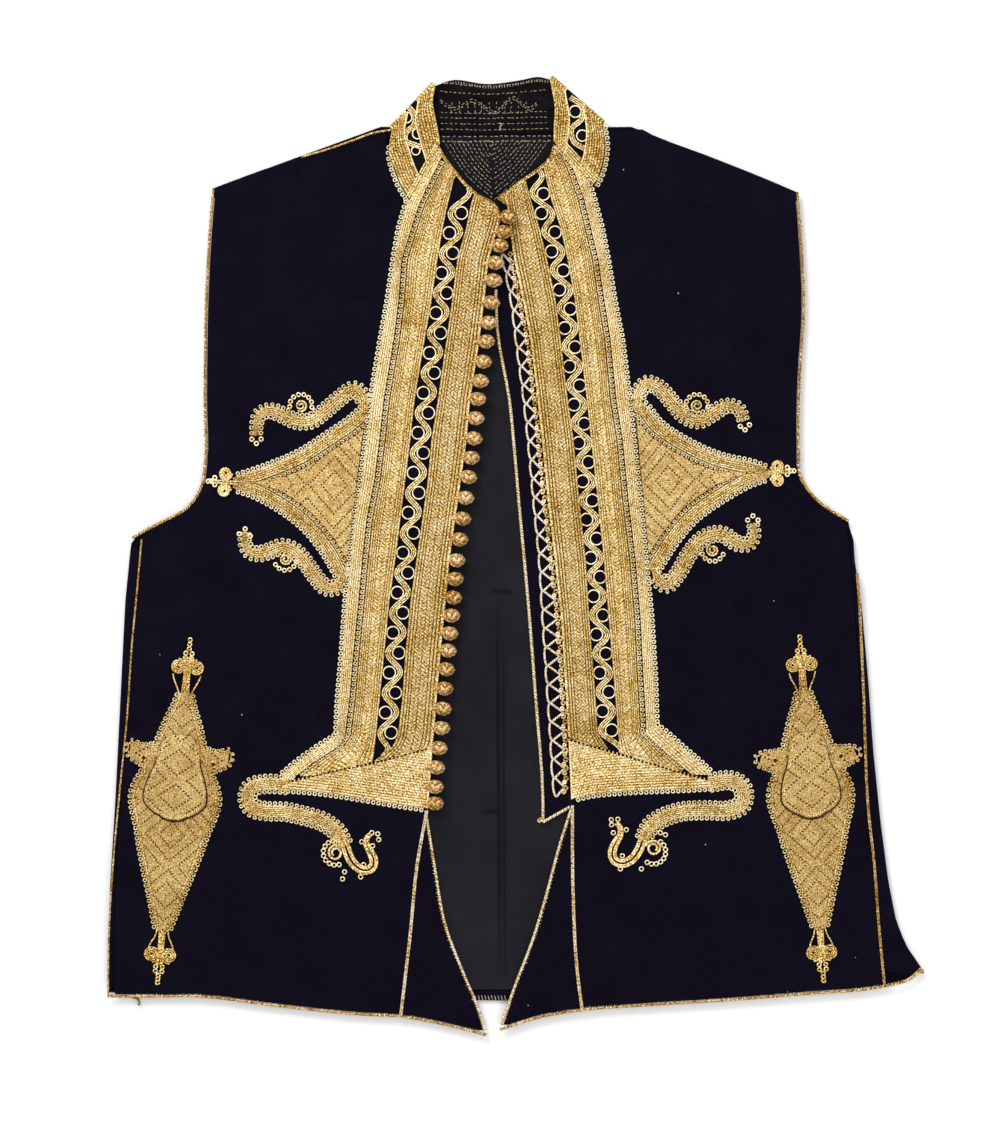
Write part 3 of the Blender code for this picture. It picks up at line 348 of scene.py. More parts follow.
def back_grid(face):
    """The back's cloth on one face, 0 outside and 1 inside, row by row from the neck to the hem.

    Across a row, the cloth runs from the left free edge round a half circle of radius
    HAIRPIN, over the flat, and round the right one. Its free edges meet the side seams.
    """
    radius = HAIRPIN - WOOL * face
    depth = HAIRPIN - WOOL / 2
    turn = np.linspace(np.pi, 0, 11)
    y = np.concatenate([np.linspace(300, 256, 8), np.linspace(250, 30, 20), np.linspace(26, -4, 13),
                        np.linspace(-14, -296, 40), np.linspace(-299, -311, 7)])
    rows = []
    for k, _, sign in SIDES:
        side = -sign
        start, end, stop = FOLD[k]
        # How far the side is folded over at y: none above the start, all below the end
        t = np.clip((start - y) / (start - end), 0, 1)
        share = np.where(y < stop, 0, t * t * (3 - 2 * t))
        (corner_x, corner_y), (shoulder_x, shoulder_y) = BACK_SHOULDER[k]
        arm = side * (x_at(smooth(ARMHOLE[k], 3), y) - side * (GAP + 2 * EDGE_CORD))
        slope = np.interp(y, [corner_y, shoulder_y], [corner_x, shoulder_x])
        arm = side * np.minimum(arm, np.where(y > corner_y, side * slope, 400))
        centre = x_at(SIDE[k], y) - side * HAIRPIN * (share > 0)
        free = x_at(SEAM[k], y) + side * GAP / 2
        centre = np.where(y > start, arm, side * np.minimum(side * centre, side * np.interp(y, *BACK_HEM[k])))
        bend = turn[None, :] * share[:, None]
        x = centre[:, None] + side * radius * np.sin(bend)
        z = HAIRPIN - radius * np.cos(bend)
        back = np.clip(side * (centre - free), 0.3, None) * (share > 0.98)
        lip = np.column_stack([x[:, 0] - side * back, z[:, 0]])
        x = np.concatenate([lip[:, :1], lip[:, :1] * 0.5 + x[:, :1] * 0.5, x], axis=1)
        z = np.concatenate([lip[:, 1:], lip[:, 1:], z], axis=1)
        rows.append((x, z, centre))
    (left_x, left_z, left), (right_x, right_z, right) = rows
    middle = left[:, None] + (right - left)[:, None] * np.linspace(0, 1, 26)[1:-1]
    x = np.concatenate([left_x, middle, right_x[:, ::-1]], axis=1)
    z = np.concatenate([left_z, np.full(middle.shape, WOOL * face), right_z[:, ::-1]], axis=1)
    yy = np.broadcast_to(y[:, None], x.shape)
    shoulders = [np.interp(x, *zip(*sorted(line))) for line in BACK_SHOULDER]
    below = np.where(x < 0, *shoulders) - yy
    rise = np.clip(1 - below / 10, 0, 1)**2 * ((x < -84) | (x > 62)) * (yy > 240)
    return np.stack([x, yy, z + (FRONT_FLOOR - WOOL - GAP) * rise], axis=2)


back_over = back_grid(1)
back_cloth = piece("back_cloth", [shell(back_over, back_grid(0))], navy_wool, ["back_panel"])


# ---------------------------------------------------------------- back lining
# A plain dark cotton lining, sewn to the back. It shows through the neck and between the open
# fronts, with two long creases down its middle and a few short ones across.

LINING_FLOOR = WOOL + GAP
LINING = 1.0
LINING_TOP = LINING_FLOOR + LINING
LINING_LEFT = [(-78, 293), (-76, 240), (-60, 200), (-62, 100), (-80, -60), (-98, -180), (-104, -302)]
LINING_RIGHT = [(70, -303), (66, -180), (62, -60), (46, 60), (36, 200), (52, 240), (54, 294)]
# Creases: start x, y, end x, y, half width, height
LINING_CREASES = [(-12.6, -17, -10.5, -300, 1.2, 0.6), (-8.4, -40, -7.0, -310, 1.0, -0.5),
                  (-18, -24, 0, -25.5, 1.4, 0.55), (-25, -179, -10.5, -178, 1.3, 0.5)]


def creases(x, y, table):
    """Height of soft folds: across each, a bell curve; along it, a rise and a fall at its ends."""
    total = np.zeros(np.shape(x))
    for ax, ay, bx, by, width, height in table:
        long = np.hypot(bx - ax, by - ay)
        ux, uy = (bx - ax) / long, (by - ay) / long
        along = ((x - ax) * ux + (y - ay) * uy) / long
        across = (x - ax) * uy - (y - ay) * ux
        ends = np.clip(4 * along, 0, 1) * np.clip(4 * (1 - along), 0, 1)
        total = total + height * np.exp(-(across / width)**2) * ends
    return total


lining_y = np.concatenate([np.linspace(293, -303, 120), np.linspace(-19, -31, 20), np.linspace(-173, -184, 20)])
lining_y = np.unique(lining_y)[::-1]
lining_x = np.unique(np.concatenate([np.linspace(0, 1, 26), np.linspace(0.4, 0.62, 90)]))
lining_left = x_at(LINING_LEFT, lining_y)[:, None]
lining_right = x_at(LINING_RIGHT, lining_y)[:, None]
lining_xx = lining_left + (lining_right - lining_left) * lining_x
lining_yy = np.broadcast_to(lining_y[:, None], lining_xx.shape)
lining_folds = creases(lining_xx, lining_yy, LINING_CREASES)
lining_over = np.stack([lining_xx, lining_yy, LINING_TOP + lining_folds], axis=2)


def slab(over, floor, deep=0.0, tone=0.5, flow=None):
    """A closed block under a grid of points: its sides and its base are plain, at the height floor."""
    rows, columns = over.shape[:2]
    i = np.arange(rows * columns).reshape(rows, columns)
    count = rows * columns
    left = over[:, 0].copy()
    right = over[:, -1].copy()
    left[:, 2], right[:, 2] = np.broadcast_to(floor, (rows, columns))[:, [0, -1]].T
    a = count + np.arange(rows)
    b = a + rows
    faces = [grid_faces(rows, columns),
             np.column_stack([i[:-1, 0], i[1:, 0], a[1:], a[:-1]]),
             np.column_stack([i[:-1, -1], b[:-1], b[1:], i[1:, -1]]),
             np.column_stack([a[:-1], a[1:], b[1:], b[:-1]]),
             [[*i[0], b[0], a[0]]], [[*i[-1][::-1], a[-1], b[-1]]]]

    def spread(value):
        grid = np.broadcast_to(value, (rows, columns))
        return np.concatenate([grid.ravel(), grid[:, 0], grid[:, -1]])

    flow = over[..., :2] if flow is None else flow
    flow = np.concatenate([flow.reshape(-1, 2), flow[:, 0], flow[:, -1]])
    return part(np.concatenate([over.reshape(-1, 3), left, right]), faces, spread(deep), spread(tone), flow)


def lining_finish():
    """Fine plain weave: two crossed ribs a third of a millimetre apart, and a soft uneven shade."""
    n = Nodes("dark_cotton_lining")
    weave = n.math("MULTIPLY", n.math("ADD", n.ribs(480.0, 0.6, "X"), n.ribs(480.0, 0.6, "Y")), 0.5)
    both = n.math("ADD", n.math("MULTIPLY", n.noise(22.0, 4.0), 0.8), n.math("MULTIPLY", weave, 0.2))
    cotton = n.ramp(both, [(0.3, (0.0075, 0.0073, 0.0098)), (0.7, (0.0145, 0.0140, 0.0190))])
    place = n.add("TexCoord").outputs["Object"]
    # The cotton is darker above y = 236 mm, by the neck.
    near_neck = n.math("GREATER_THAN", n.add("SeparateXYZ", {0: place}).outputs["Y"], 0.236)
    # shaded: the darker of the darkening by the neck and the painted shade of the creases, where deep is set
    shaded = n.math("MAXIMUM", n.math("MULTIPLY", near_neck, 0.6), n.math("MINIMUM", n.attribute("deep"), 0.8))
    return n.close(n.mix(shaded, cotton, (0.0025, 0.0025, 0.0032)), 0.8, 0.08, weave, 0.4, 0.0002)


# deep paints shade on the lining along its creases, from their height
lining_cloth = piece("lining_cloth", [slab(lining_over, LINING_FLOOR, np.abs(lining_folds) * 1.5)],
                     lining_finish(), ["back_lining"])


# ---------------------------------------------------------------- fronts
# The two fronts are cut from the same wool, and lie on the back with soft swells over the
# chest, the waist and the hem. Gold embroidery covers most of them.

SWELLS = [
    (-152, 205, 62, 80, 1.3),
    (-205, 95, 48, 70, 0.8),
    (-190, -60, 66, 120, 1.1),
    (-150, -255, 95, 48, 1.0),
    (128, 200, 62, 80, 1.2),
    (176, 105, 40, 70, 0.9),
    (175, -70, 62, 110, 1.1),
    (140, -255, 80, 44, 1.0),
]
HEM = ([(-284.6, -308.5), (-250, -308.5), (-220.5, -308.5), (-171.5, -314.5), (-101.5, -321.5),
        (-80, -322.5)],
       [(284.6, -288.5), (276.5, -296), (257.5, -301.5), (206.5, -306.5), (150.5, -311),
        (87.5, -315), (47, -318)])
GORE_SEAM = ([(-61.5, -176.5), (-68.5, -216.5), (-73, -262.5), (-80, -322.5)],
             [(40, -173), (40.5, -234), (43.5, -291), (47, -318)])
COLLAR_SEAM = ([(-89.5, 296.5), (-88.5, 280.5), (-84.5, 270), (-80.5, 259.5), (-74, 248.5)],
               [(64.5, 302), (63, 284), (59.5, 266.5), (55.5, 258.5)])
# Braid panels, from the neck to the foot: y, front edge, inner and outer edge of the eyelet strip,
# dotted row, outer edge
PANEL = ([
    (286.5, 4, -16, -30, -45, -56),
    (263, -2.5, -26, -42.5, -56.5, -68),
    (245, -7.5, -31, -47, -65, -75),
    (228, -12.5, -34.5, -50.5, -70.5, -80),
    (207, -18.5, -40.5, -54, -77, -83.5),
    (179, -21.5, -44, -58, -79, -87.5),
    (151, -25, -48, -63, -82.5, -92.5),
    (109, -31.5, -54, -70, -89.5, -99.5),
    (81, -34, -58.5, -73, -92.5, -103),
    (53, -38, -61, -76.5, -96, -106.5),
    (25, -42, -65, -80, -101.5, -111.5),
    (-3, -46, -69, -83.5, -104.5, -114),
    (-31, -48.5, -73, -87.5, -107, -117),
    (-66, -52, -76.5, -91, -110.5, -119.5),
    (-101, -55, -79, -94.5, -113.5, -122.5),
    (-125.5, -57, -82, -97, -116.5, -123.5),
    (-133.5, -58.2, -86, -98, -122, -136.5),
    (-143.5, -59.5, -99, -99.2, -138, -150.5),
    (-154.4, -61, -100.3, -100.5, -152, -163.5),
], [
    (290, -4, 1.5, 14, 28.5, 37),
    (270, -4.5, 5.5, 20, 38.5, 47.5),
    (249, -5.5, 11, 25, 46, 54),
    (228, -3.5, 17.5, 32, 51, 59.5),
    (207, -0.5, 22.5, 36.5, 56, 63.5),
    (179, 5.5, 28.5, 41.5, 60, 68),
    (151, 11, 32, 45, 64.5, 73.5),
    (109, 16, 37, 50, 68.5, 78.5),
    (81, 19, 41, 53, 73, 81.5),
    (39, 23, 45, 57.5, 77, 86),
    (-3, 28, 49.5, 62, 82, 90),
    (-45, 32.5, 52, 65.5, 85.5, 94),
    (-87, 35, 55.5, 69, 87.5, 96.5),
    (-118.5, 37, 57.5, 71.5, 89.5, 97.5),
    (-123.5, 37.3, 57.8, 72, 88.5, 104.5),
    (-136, 38, 66, 73, 101.5, 118.5),
    (-144, 38.5, 73.3, 73.5, 111, 128),
    (-152.6, 39, 73.8, 74, 121, 137.2),
])
NECK = ([(-53, 286.5), (-49.5, 280), (-40.5, 268), (-33, 259), (-24.5, 252), (-14.5, 246.5),
         (-10, 238), (-10.5, 232)],
        [(26.6, 286.5), (24, 278.5), (13.5, 269), (2, 261), (-5.5, 255), (-8, 249)])
MITRE = ([(-74, 248.5), (-53, 287)],
         [(55.5, 258.5), (27.5, 288.5)])


def lift(x, y):
    """Height of the fronts' soft swells: the sum of (1 - r^2)^2 bumps."""
    total = np.zeros(np.shape(x))
    for cx, cy, rx, ry, height in SWELLS:
        r2 = ((x - cx) / rx)**2 + ((y - cy) / ry)**2
        total = total + height * np.clip(1 - r2, 0, None)**2
    return total


def front_over(x, y):
    return FRONT_FLOOR + WOOL + lift(x, y)


def above(rise):
    """A height over the fronts' embroidery line, which is a gap above their cloth."""
    return lambda x, y: front_over(x, y) + GAP + rise


on_front = above(0)
on_cloth = above(0.45)


def height_at(z, p):
    """Heights at the points p, from a number, a list or a function of x, y."""
    return z(p[:, 0], p[:, 1]) if callable(z) else np.broadcast_to(z, len(p))


def edge_x(table, y, column=1):
    """X of one column of a braid table at the height y, in straight runs between rows."""
    rows = np.array(table, float)[::-1]
    return np.interp(y, rows[:, 0], rows[:, column])


def between(a, b, y, height, share):
    """Grid of points in rows at the heights y, from x = a to x = b."""
    x = a[:, None] + (b - a)[:, None] * share
    y = np.broadcast_to(y[:, None], x.shape)
    return np.stack([x, y, height(x, y)], axis=2)


def falling(path):
    """The path without the points that don't lie below all the ones before them."""
    return path[np.concatenate([[True], np.diff(np.minimum.accumulate(path[:, 1])) < -1e-4])]


def front_cloth(k, sign):
    """Grids over one front and over its corner at the neck, in rows of constant y."""
    trim = GAP + 2 * EDGE_CORD
    shoulder = smooth(SHOULDER[k], 3) - (0, 0.4)
    arm = beside(smooth(ARMHOLE[k], 4), -sign * trim)
    seam = beside(SEAM[k], -sign * GAP)
    arm = arm[sign * arm[:, 0] > sign * seam[0, 0] + 1.5]
    hem = spaced(beside(smooth(HEM[k], 4), -sign * trim), 2.0)
    seam = spaced(seam, 4.0)
    hem = hem[sign * hem[:, 0] > sign * seam[-1, 0] + 0.2]
    seam = seam[seam[:, 1] > hem[0, 1] + 0.1]
    arm = arm[arm[:, 1] < shoulder[0, 1]]
    outer = falling(np.concatenate([shoulder[::-1], arm, seam, hem]))
    gore = beside(smooth(GORE_SEAM[k], 3), sign * GAP)
    table = PANEL[k]
    neck = beside(smooth(NECK[k], 3), sign * 0.5)
    collar = beside(smooth(COLLAR_SEAM[k], 3), sign * GAP)
    front_edge = np.array([(row[1] - 0.5 * sign, row[0]) for row in table
                           if gore[0, 1] < row[0] < neck[-1, 1] and row[0] > -130])
    below = neck[neck[:, 1] < collar[-1, 1] - 0.5]
    low = collar[-1, 1] - 0.4
    inner = falling(np.concatenate([collar, [(x_at(neck, low), low)], below, front_edge, gore]))
    top = min(outer[0, 1], inner[0, 1]) - 0.2
    low = max(outer[-1, 1], inner[-1, 1]) + 0.1
    y = np.unique(np.concatenate([np.linspace(low, top, 110), outer[:, 1], inner[:, 1]]).round(2))[::-1]
    y = y[(y <= top) & (y >= low)]
    corner_y = np.linspace(MITRE[k][1][1] - 1, collar[-1, 1], 24)
    return [between(x_at(outer, y), x_at(inner, y), y, front_over, np.linspace(0, 1, 44)),
            between(x_at(MITRE[k], corner_y), x_at(neck, corner_y), corner_y, front_over, np.linspace(0, 1, 9))]


def wool_sheet(name, grids, floor, node):
    """A cut of the wool, from one or more grids, that lies on the back and its lining."""
    cloth = piece(name, [slab(g, floor(g[..., 0], g[..., 1])) for g in grids], navy_wool, [node])


def front_under(x, y):
    return FRONT_FLOOR + lift(x, y)


for k, word, sign in SIDES:
    wool_sheet("front_cloth_" + word, front_cloth(k, sign), front_under, "front_" + word)


# ---------------------------------------------------------------- gores
# A pointed gore is let in below the foot on each side. Its seam is pressed to a low ridge, and
# its slanting front edge is bound by the hem cord.

RIDGE = 0.9
RIDGE_WIDTH = 3.0
GORE_HEM = ([(-80, -322.5), (-59.5, -326), (-31.5, -332.5), (-20.5, -335.6)],
            [(47, -318), (15.5, -323.5), (-10, -331.8)])
GORE_EDGE = ([(-61.5, -178), (-54.5, -221), (-48.5, -255), (-34.5, -292.5), (-25, -315), (-19.6, -332)],
             [(38.5, -176), (31, -199), (20.5, -238), (11.5, -267.5), (-1.5, -301.5), (-10.8, -328)])


def gore_cloth(k, sign):
    """Grid over one gore, in rows from its point down: the seam's side follows the hem lower down."""
    trim = GAP + 2 * EDGE_CORD
    seam = beside(smooth(GORE_SEAM[k], 4), -sign * GAP)
    hem = beside(smooth(GORE_HEM[k], 4), -sign * trim)
    edge = beside(smooth(GORE_EDGE[k], 4), sign * trim)
    seam = seam[seam[:, 1] > hem[0, 1] + 1]
    inner = np.concatenate([seam, hem])
    y = np.concatenate([np.linspace(seam[0, 1] - 3.0, hem[0, 1], 60),
                        np.linspace(hem[0, 1], hem[-1, 1] + 2.2, 12)[1:]])
    a, b = x_at(inner, y), x_at(edge, y)
    kept = sign * (b - a) > 0.4

    def ridged(x, y):
        return front_over(x, y) + RIDGE * np.clip(1 - sign * (x - x_at(seam, y)) / RIDGE_WIDTH, 0, 1)

    return between(a[kept], b[kept], y[kept], ridged, np.linspace(0, 1, 24)**1.3)


for k, word, sign in SIDES:
    wool_sheet("gore_cloth_" + word, [gore_cloth(k, sign)], front_under, "gore_" + word)


# ---------------------------------------------------------------- underlap
# The underlap is a strip of the same wool, sewn under the right front. The button loops lie on it.

UNDERLAP_FLOOR = 3.2
UNDERLAP = [(-14.5, 210), (-14.5, 186), (-13.5, 158), (-5, 109), (-1.5, 74), (1.5, 39), (8, -31),
            (13.5, -101), (18.4, -171), (18.4, -185.8)]
UNDERLAP_FOOT = [(18.4, -185.8), (38.5, -176.4)]
underlap_y = np.concatenate([np.linspace(208, -170, 120), np.linspace(-172, -183, 8)])
free = beside(smooth(UNDERLAP, 4), -(GAP + 2 * SEAM_CORD))
underlap_a = x_at(free, underlap_y)
underlap_b = edge_x(PANEL[1], np.maximum(underlap_y, -123)) - GAP - 0.2
foot_x = np.interp(underlap_y, [-184.5, -174.5], [19.5, 40.5])
underlap_b = np.where(underlap_y < -174.5, np.minimum(underlap_b, foot_x), underlap_b)
underlap_over = between(underlap_a, underlap_b, underlap_y, lambda x, y: np.full(x.shape, UNDERLAP_FLOOR + WOOL),
                        np.linspace(0, 1, 14))
wool_sheet("underlap_cloth", [underlap_over], lambda x, y: UNDERLAP_FLOOR, "placket")


# ---------------------------------------------------------------- collar
# The stand collar is one stiffened band, quilted in rows of pale running stitch. It is folded
# flat, so that its back lies down and its two fronts fold over it.

COLLAR_WALL = 2.2
COLLAR_FOLD = 3.0
# A half of the folded collar, from its mitred front end to its fold: seam x, y, top edge x, y
COLLAR_HALF = ([(-74, 248.5, -53, 287), (-80.5, 259.5, -54.2, 296), (-84.5, 270, -56, 305),
                (-88.5, 280.5, -58, 316), (-86.5, 297, -56.2, 328.6)],
               [(55.5, 258.5, 27.5, 288.5), (59.5, 266.5, 27.7, 298), (63, 284, 28.3, 313),
                (61, 301.5, 24.8, 333)])
COLLAR_BACK = [(-52.5, 295.6, -42, 333), (-19.5, 295.2, -18.5, 330), (5, 295.6, 3, 332.6),
               (28.5, 297.2, 15, 335)]


def collar_stations():
    """Cross lines of the collar from its left end to its right: two ends, outward normal, height."""
    mid_low = COLLAR_WALL / 2
    mid_fold = COLLAR_FOLD - COLLAR_WALL / 2
    halves = [smooth(half, 3) for half in COLLAR_HALF]
    up = np.array([0, 0, 1.0])
    folds = []
    for end, outward in zip((half[-1] for half in halves), (1, -1)):
        run = unit(end[2:] - end[:2])
        out = outward * np.array([-run[1], run[0]])
        fold = []
        for turn in np.linspace(0, np.pi, 9)[1:]:
            normal = np.array([*(out * np.sin(turn)), np.cos(turn)])
            shift = out * mid_fold * np.sin(turn)
            fold.append((*(end[:2] + shift), *(end[2:] + shift), normal, mid_low + mid_fold * (1 + np.cos(turn))))
        folds.append(fold)
    back = smooth([folds[0][-1][:4], *COLLAR_BACK, COLLAR_HALF[1][-1]], 4)[1:-1]
    front_l, front_r = ([(*row, up, mid_low + 2 * mid_fold) for row in half] for half in halves)
    return front_l + folds[0] + [(*row, -up, mid_low) for row in back] + folds[1][::-1] + front_r[::-1]


def quilted_finish():
    """The collar's dark facing: a fine weave over padding, a little paler than the wool."""
    n = Nodes("quilted_collar")
    cloud = n.noise(120.0, 5.0, 0.7)
    colour = n.ramp(cloud, [(0.3, (0.0015, 0.0011, 0.0014)), (0.7, (0.0090, 0.0080, 0.0092))])
    return n.close(colour, 0.85, 0.05, n.math("ADD", n.ribs(430.0, 1.2, "Y"), cloud), 0.5, 0.0005)


stations = collar_stations()
collar_share = np.linspace(0, 1, 16)
collar_faces = []
for half in (COLLAR_WALL / 2, -COLLAR_WALL / 2):
    grid = [np.column_stack([ax + (bx - ax) * collar_share, ay + (by - ay) * collar_share, 0 * collar_share + z])
            + normal * half for ax, ay, bx, by, normal, z in stations]
    collar_faces.append(np.array(grid))
collar_cloth = piece("collar_cloth", [shell(*collar_faces)], quilted_finish(), ["collar"])


# ---------------------------------------------------------------- braid panels
# Each front carries a broad panel of gold: plain cords couched side by side, a herringbone
# plait, a strip of openwork, and a basket plait by the front edge. Between the plain cords and
# the herringbone a thin cord is looped in a groove, and another one loops along the outer edge.
# The right panel's corner at the neck reaches over to the left front.

BRAID = 2.0
FAR = 400.0
STRAND = 2.6
FOOT_TOP = ([(-58.2, -133.5), (-80.5, -139.5), (-101.5, -145), (-122.5, -149), (-143.5, -154),
             (-154.5, -156.6), (-159.5, -158)],
            [(38, -128), (69, -137), (101, -146.5), (122, -152.8), (135, -156)])
EYELETS = ((239.4, 13.95, 27),
           (252.7, 13.37, 29))
# Couching, from the outer edge to the front edge: columns and insets of a zone's two edges, how
# # dark the painted shade in its grooves is, its tone, and in it the kinds of work with their share of the width
ZONES = [
    ((5, 0.0, 4, -2.2), 0.5, 0.70, [("cords", 0.0, 1.0, 5)]),
    ((4, 2.2, 3, 0.0), 0.64, 0.53, [("cords", 0.0, 0.34, 4), ("herring", 0.34, 0.72, 0), ("cords", 0.72, 1.0, 3)]),
    ((2, 0.0, 1, 0.0), 1.0, 0.46, [("cords", 0.0, 0.25, 3), ("basket", 0.25, 0.71, 0), ("cords", 0.71, 1.0, 3)]),
]


def gold_finish(name, tint):
    """Metal-wrapped thread: wrapped at a slant, paler or browner by tone, and painted dark as shade where it is deep.

    Its colour carries painted glints, fine bright and dark flecks, and painted light and shade on the wrap's turns.
    Where rhomb is set there is a furrow of painted shade at each 1.5 mm of q, and a row of small holes at each 9 mm.
    Fields of rhombs, where it is 1, are evener and paler than cords.
    """
    n = Nodes(name)
    flow = n.add("UVMap", uv_map="flow").outputs["UV"]
    q, w = n.add("SeparateXYZ", {0: flow}).outputs[:2]
    furrow = n.math("MULTIPLY", n.math("LESS_THAN", n.math("PINGPONG", q, 0.00075), 0.0002), 0.3)
    hole = n.math("MULTIPLY", n.math("LESS_THAN", n.math("PINGPONG", q, 0.0045), 0.0008),
                  n.math("LESS_THAN", n.math("PINGPONG", w, 0.0015), 0.0008))
    rhomb = n.attribute("rhomb")
    marked = n.math("MULTIPLY", rhomb, n.math("MAXIMUM", furrow, hole))
    deep = n.math("MAXIMUM", n.attribute("deep"), marked)
    glint, wear = n.noise(950.0, 1.5, 0.65), n.noise(60.0, 6.0, 0.75)
    turned = n.add("VectorRotate", {"Vector": flow, "Angle": 0.65}, rotation_type="Z_AXIS").outputs[0]
    wrap = n.add("TexWave", {"Vector": turned, "Scale": 190.0, "Distortion": 5.0, "Detail": 2.0,
                             "Detail Scale": 2.5}, bands_direction="Y").outputs["Fac"]
    # glint paints glints as fine bright and dark flecks, wrap paints light and shade on the wrap's turns, and wear is
    # the thread's uneven colour
    swings = [n.math("MULTIPLY", n.math("SUBTRACT", value, 0.5), share)
              for value, share in ((glint, 3.0), (wear, 1.2), (wrap, 0.32))]
    uneven = n.math("ADD", n.math("ADD", swings[0], swings[1]), swings[2])
    field = n.math("MULTIPLY", n.math("COMPARE", rhomb, 1.0), 0.25)
    level = n.math("ADD", n.math("MULTIPLY", uneven, n.math("SUBTRACT", 1.0, field)), n.attribute("tone"))
    stops = [(0.0, (0.20, 0.075, 0.004)), (0.30, (0.46, 0.245, 0.026)), (0.58, (0.78, 0.540, 0.155)),
             (0.82, (1.00, 0.810, 0.415)), (1.0, (1.10, 1.010, 0.770))]
    colour = n.ramp(level, [(place, tuple(np.multiply(shade, tint))) for place, shade in stops])
    # Painted shade: where deep is set, the colour goes to dark brown.
    colour = n.mix(deep, n.mix(field, colour, (0.58, 0.45, 0.26)), (0.055, 0.020, 0.001))
    relief = n.math("ADD", n.math("MULTIPLY", wrap, 0.6), n.math("MULTIPLY", glint, 0.4))
    return n.close(colour, 0.46, 0.1, relief, 0.55, 0.00035, 0.3)


gold_braid = gold_finish("gold_couching", (1.0, 1.0, 1.0))
gold_cord = gold_finish("gold_twisted_cord", (0.93, 0.95, 1.15))


def rounded(share):
    """Section of cords side by side: a half circle in each whole step of the share."""
    return np.sqrt(np.clip(1 - (2 * (share - np.floor(share)) - 1)**2, 0, 1))


def couched(kind, count, across, along, width):
    """Crest of one kind of work at a share across its width: 0 in a groove and 1 on a strand.

    A herring is slanted stitches that meet in a V, STRAND apart. A basket is four columns of short
    strands, leaning the other way in each next column.
    """
    if kind == "cords":
        return rounded(np.clip(across, 0, 0.9999) * count)
    if kind == "field":
        return np.full(np.shape(across), 0.9)
    if kind == "herring":
        strand = rounded((along - 0.9 * np.abs(across * width - width / 2)) / STRAND)
        return strand * (0.5 + 0.5 * rounded(2 * across))
    column = np.floor(np.clip(across, 0, 0.9999) * 4)
    s = across * 4 - column
    lean = 1 - 2 * (column % 2)
    return rounded((along + lean * 2.2 * (s - 0.5)) / STRAND + 0.5 * (column % 2)) * (0.5 + 0.5 * rounded(s))


def columns_for(kind, count, width):
    """Shares across a band at which its points lie."""
    if kind != "cords":
        return np.linspace(0, 1, (count or int(np.ceil(width / 0.6))) + 1)
    one = np.array([0, 0.18, 0.5, 0.82])
    return np.concatenate([(k + one) / count for k in range(count)] + [[1.0]])


def gold_piece(kind, word, parts, node=None):
    """The couching of one motif on one side."""
    piece(f"{kind}_couching_{word}", parts, gold_braid, [f"{node or kind}_{word}"])


def band(y, start, end, clip_low, clip_high, kind, count, rng, groove, tone):
    """A closed strip of couching between two lines, cut off where it passes the clip lines."""
    first, last = np.clip(start, clip_low, clip_high), np.clip(end, clip_low, clip_high)
    kept = np.flatnonzero(np.abs(last - first) > 0.5)
    if len(kept) < 2:
        return []
    y, start, end, first, last = (v[kept[0]:kept[-1] + 1, None] for v in (y, start, end, first, last))
    width = float(np.median(np.abs(end - start)))
    share = columns_for(kind, count, width)[None, :]
    x = first + (last - first) * share
    own = (x - start) / (end - start)
    yy = np.broadcast_to(y, x.shape)
    crest = couched(kind, count, own, yy, width)
    bottom = on_front(x, yy)
    over = np.stack([x, yy, bottom + BRAID * (0.5 + 0.5 * crest)], axis=2)
    shade = rng.uniform(-0.06, 0.06, 12)[np.clip((own * max(count, 1)).astype(int), 0, 11)]
    # Plaits' crests get a lighter tone as painted highlight, and the grooves a darker colour through deep as painted
    # shade.
    painted_highlight = 0.0 if kind == "cords" else 0.4 * (crest - 0.55)
    return [slab(over, bottom, (1 - crest)**0.8 * groove, tone + shade + painted_highlight,
                 np.stack([own * width, yy], axis=2))]


def tube(path, z, radius, sides=6, twist=0.0, tone=0.55):
    """A cord along a path, its height a number, a list or a function of x, y.

    With a twist it is painted two-ply: two furrows of painted shade wind round it once in that length.
    """
    path = np.asarray(path, float)
    p = np.column_stack([path, height_at(z, path)])
    run = unit(np.gradient(p, axis=0))
    out = unit(np.cross(run, (0, 0, 1.0)))
    up = np.cross(out, run)
    s = distances(p)
    turn = np.linspace(0, 2 * np.pi, sides, endpoint=False)
    r = np.broadcast_to(radius, len(p))[:, None, None]
    co = p[:, None] + r * (out[:, None] * np.cos(turn)[None, :, None] + up[:, None] * np.sin(turn)[None, :, None])
    around = turn * 0.3 + 0 * s[:, None]
    along = s[:, None] + 0 * turn
    if twist:
        around, along = 1.5 * (turn / np.pi - 2 * s[:, None] / twist), 1.5 + 0 * along
    made = part(co, round_faces(len(p), sides), 0.0, tone, np.stack([around, along], axis=2))
    made["rhomb"] += 2.8 if twist else 0.0
    return made


def strands(path, offsets, z, radius, tone, twist=0.0):
    """Cords side by side along a path."""
    return [tube(beside(path, offset), z, radius, 6, twist, tone) for offset in offsets]


def looped(path, side, tone, pitch=3.7, reach=3.0, z=on_cloth, radius=0.41):
    """A thin cord looped along a line: at the turn t, 0.54 pitch sin t ahead and reach (1 - cos t) / 2 out."""
    line = np.array(path, float)
    s = distances(line)
    count = max(2, int(round(s[-1] / pitch)))
    turn = np.linspace(0, 2 * np.pi * count, count * 11 + 1)
    at = turn / turn[-1] * s[-1]
    run = unit(places(line, s, at + 2) - places(line, s, at - 2))
    p = (places(line, s, at) + run * 0.54 * pitch * np.sin(turn)[:, None]
         + side * right_of(run) * (reach * (1 - np.cos(turn)) / 2)[:, None])
    return tube(p, height_at(z, p) + 0.3 * np.sin(turn), radius, 4, tone=tone)


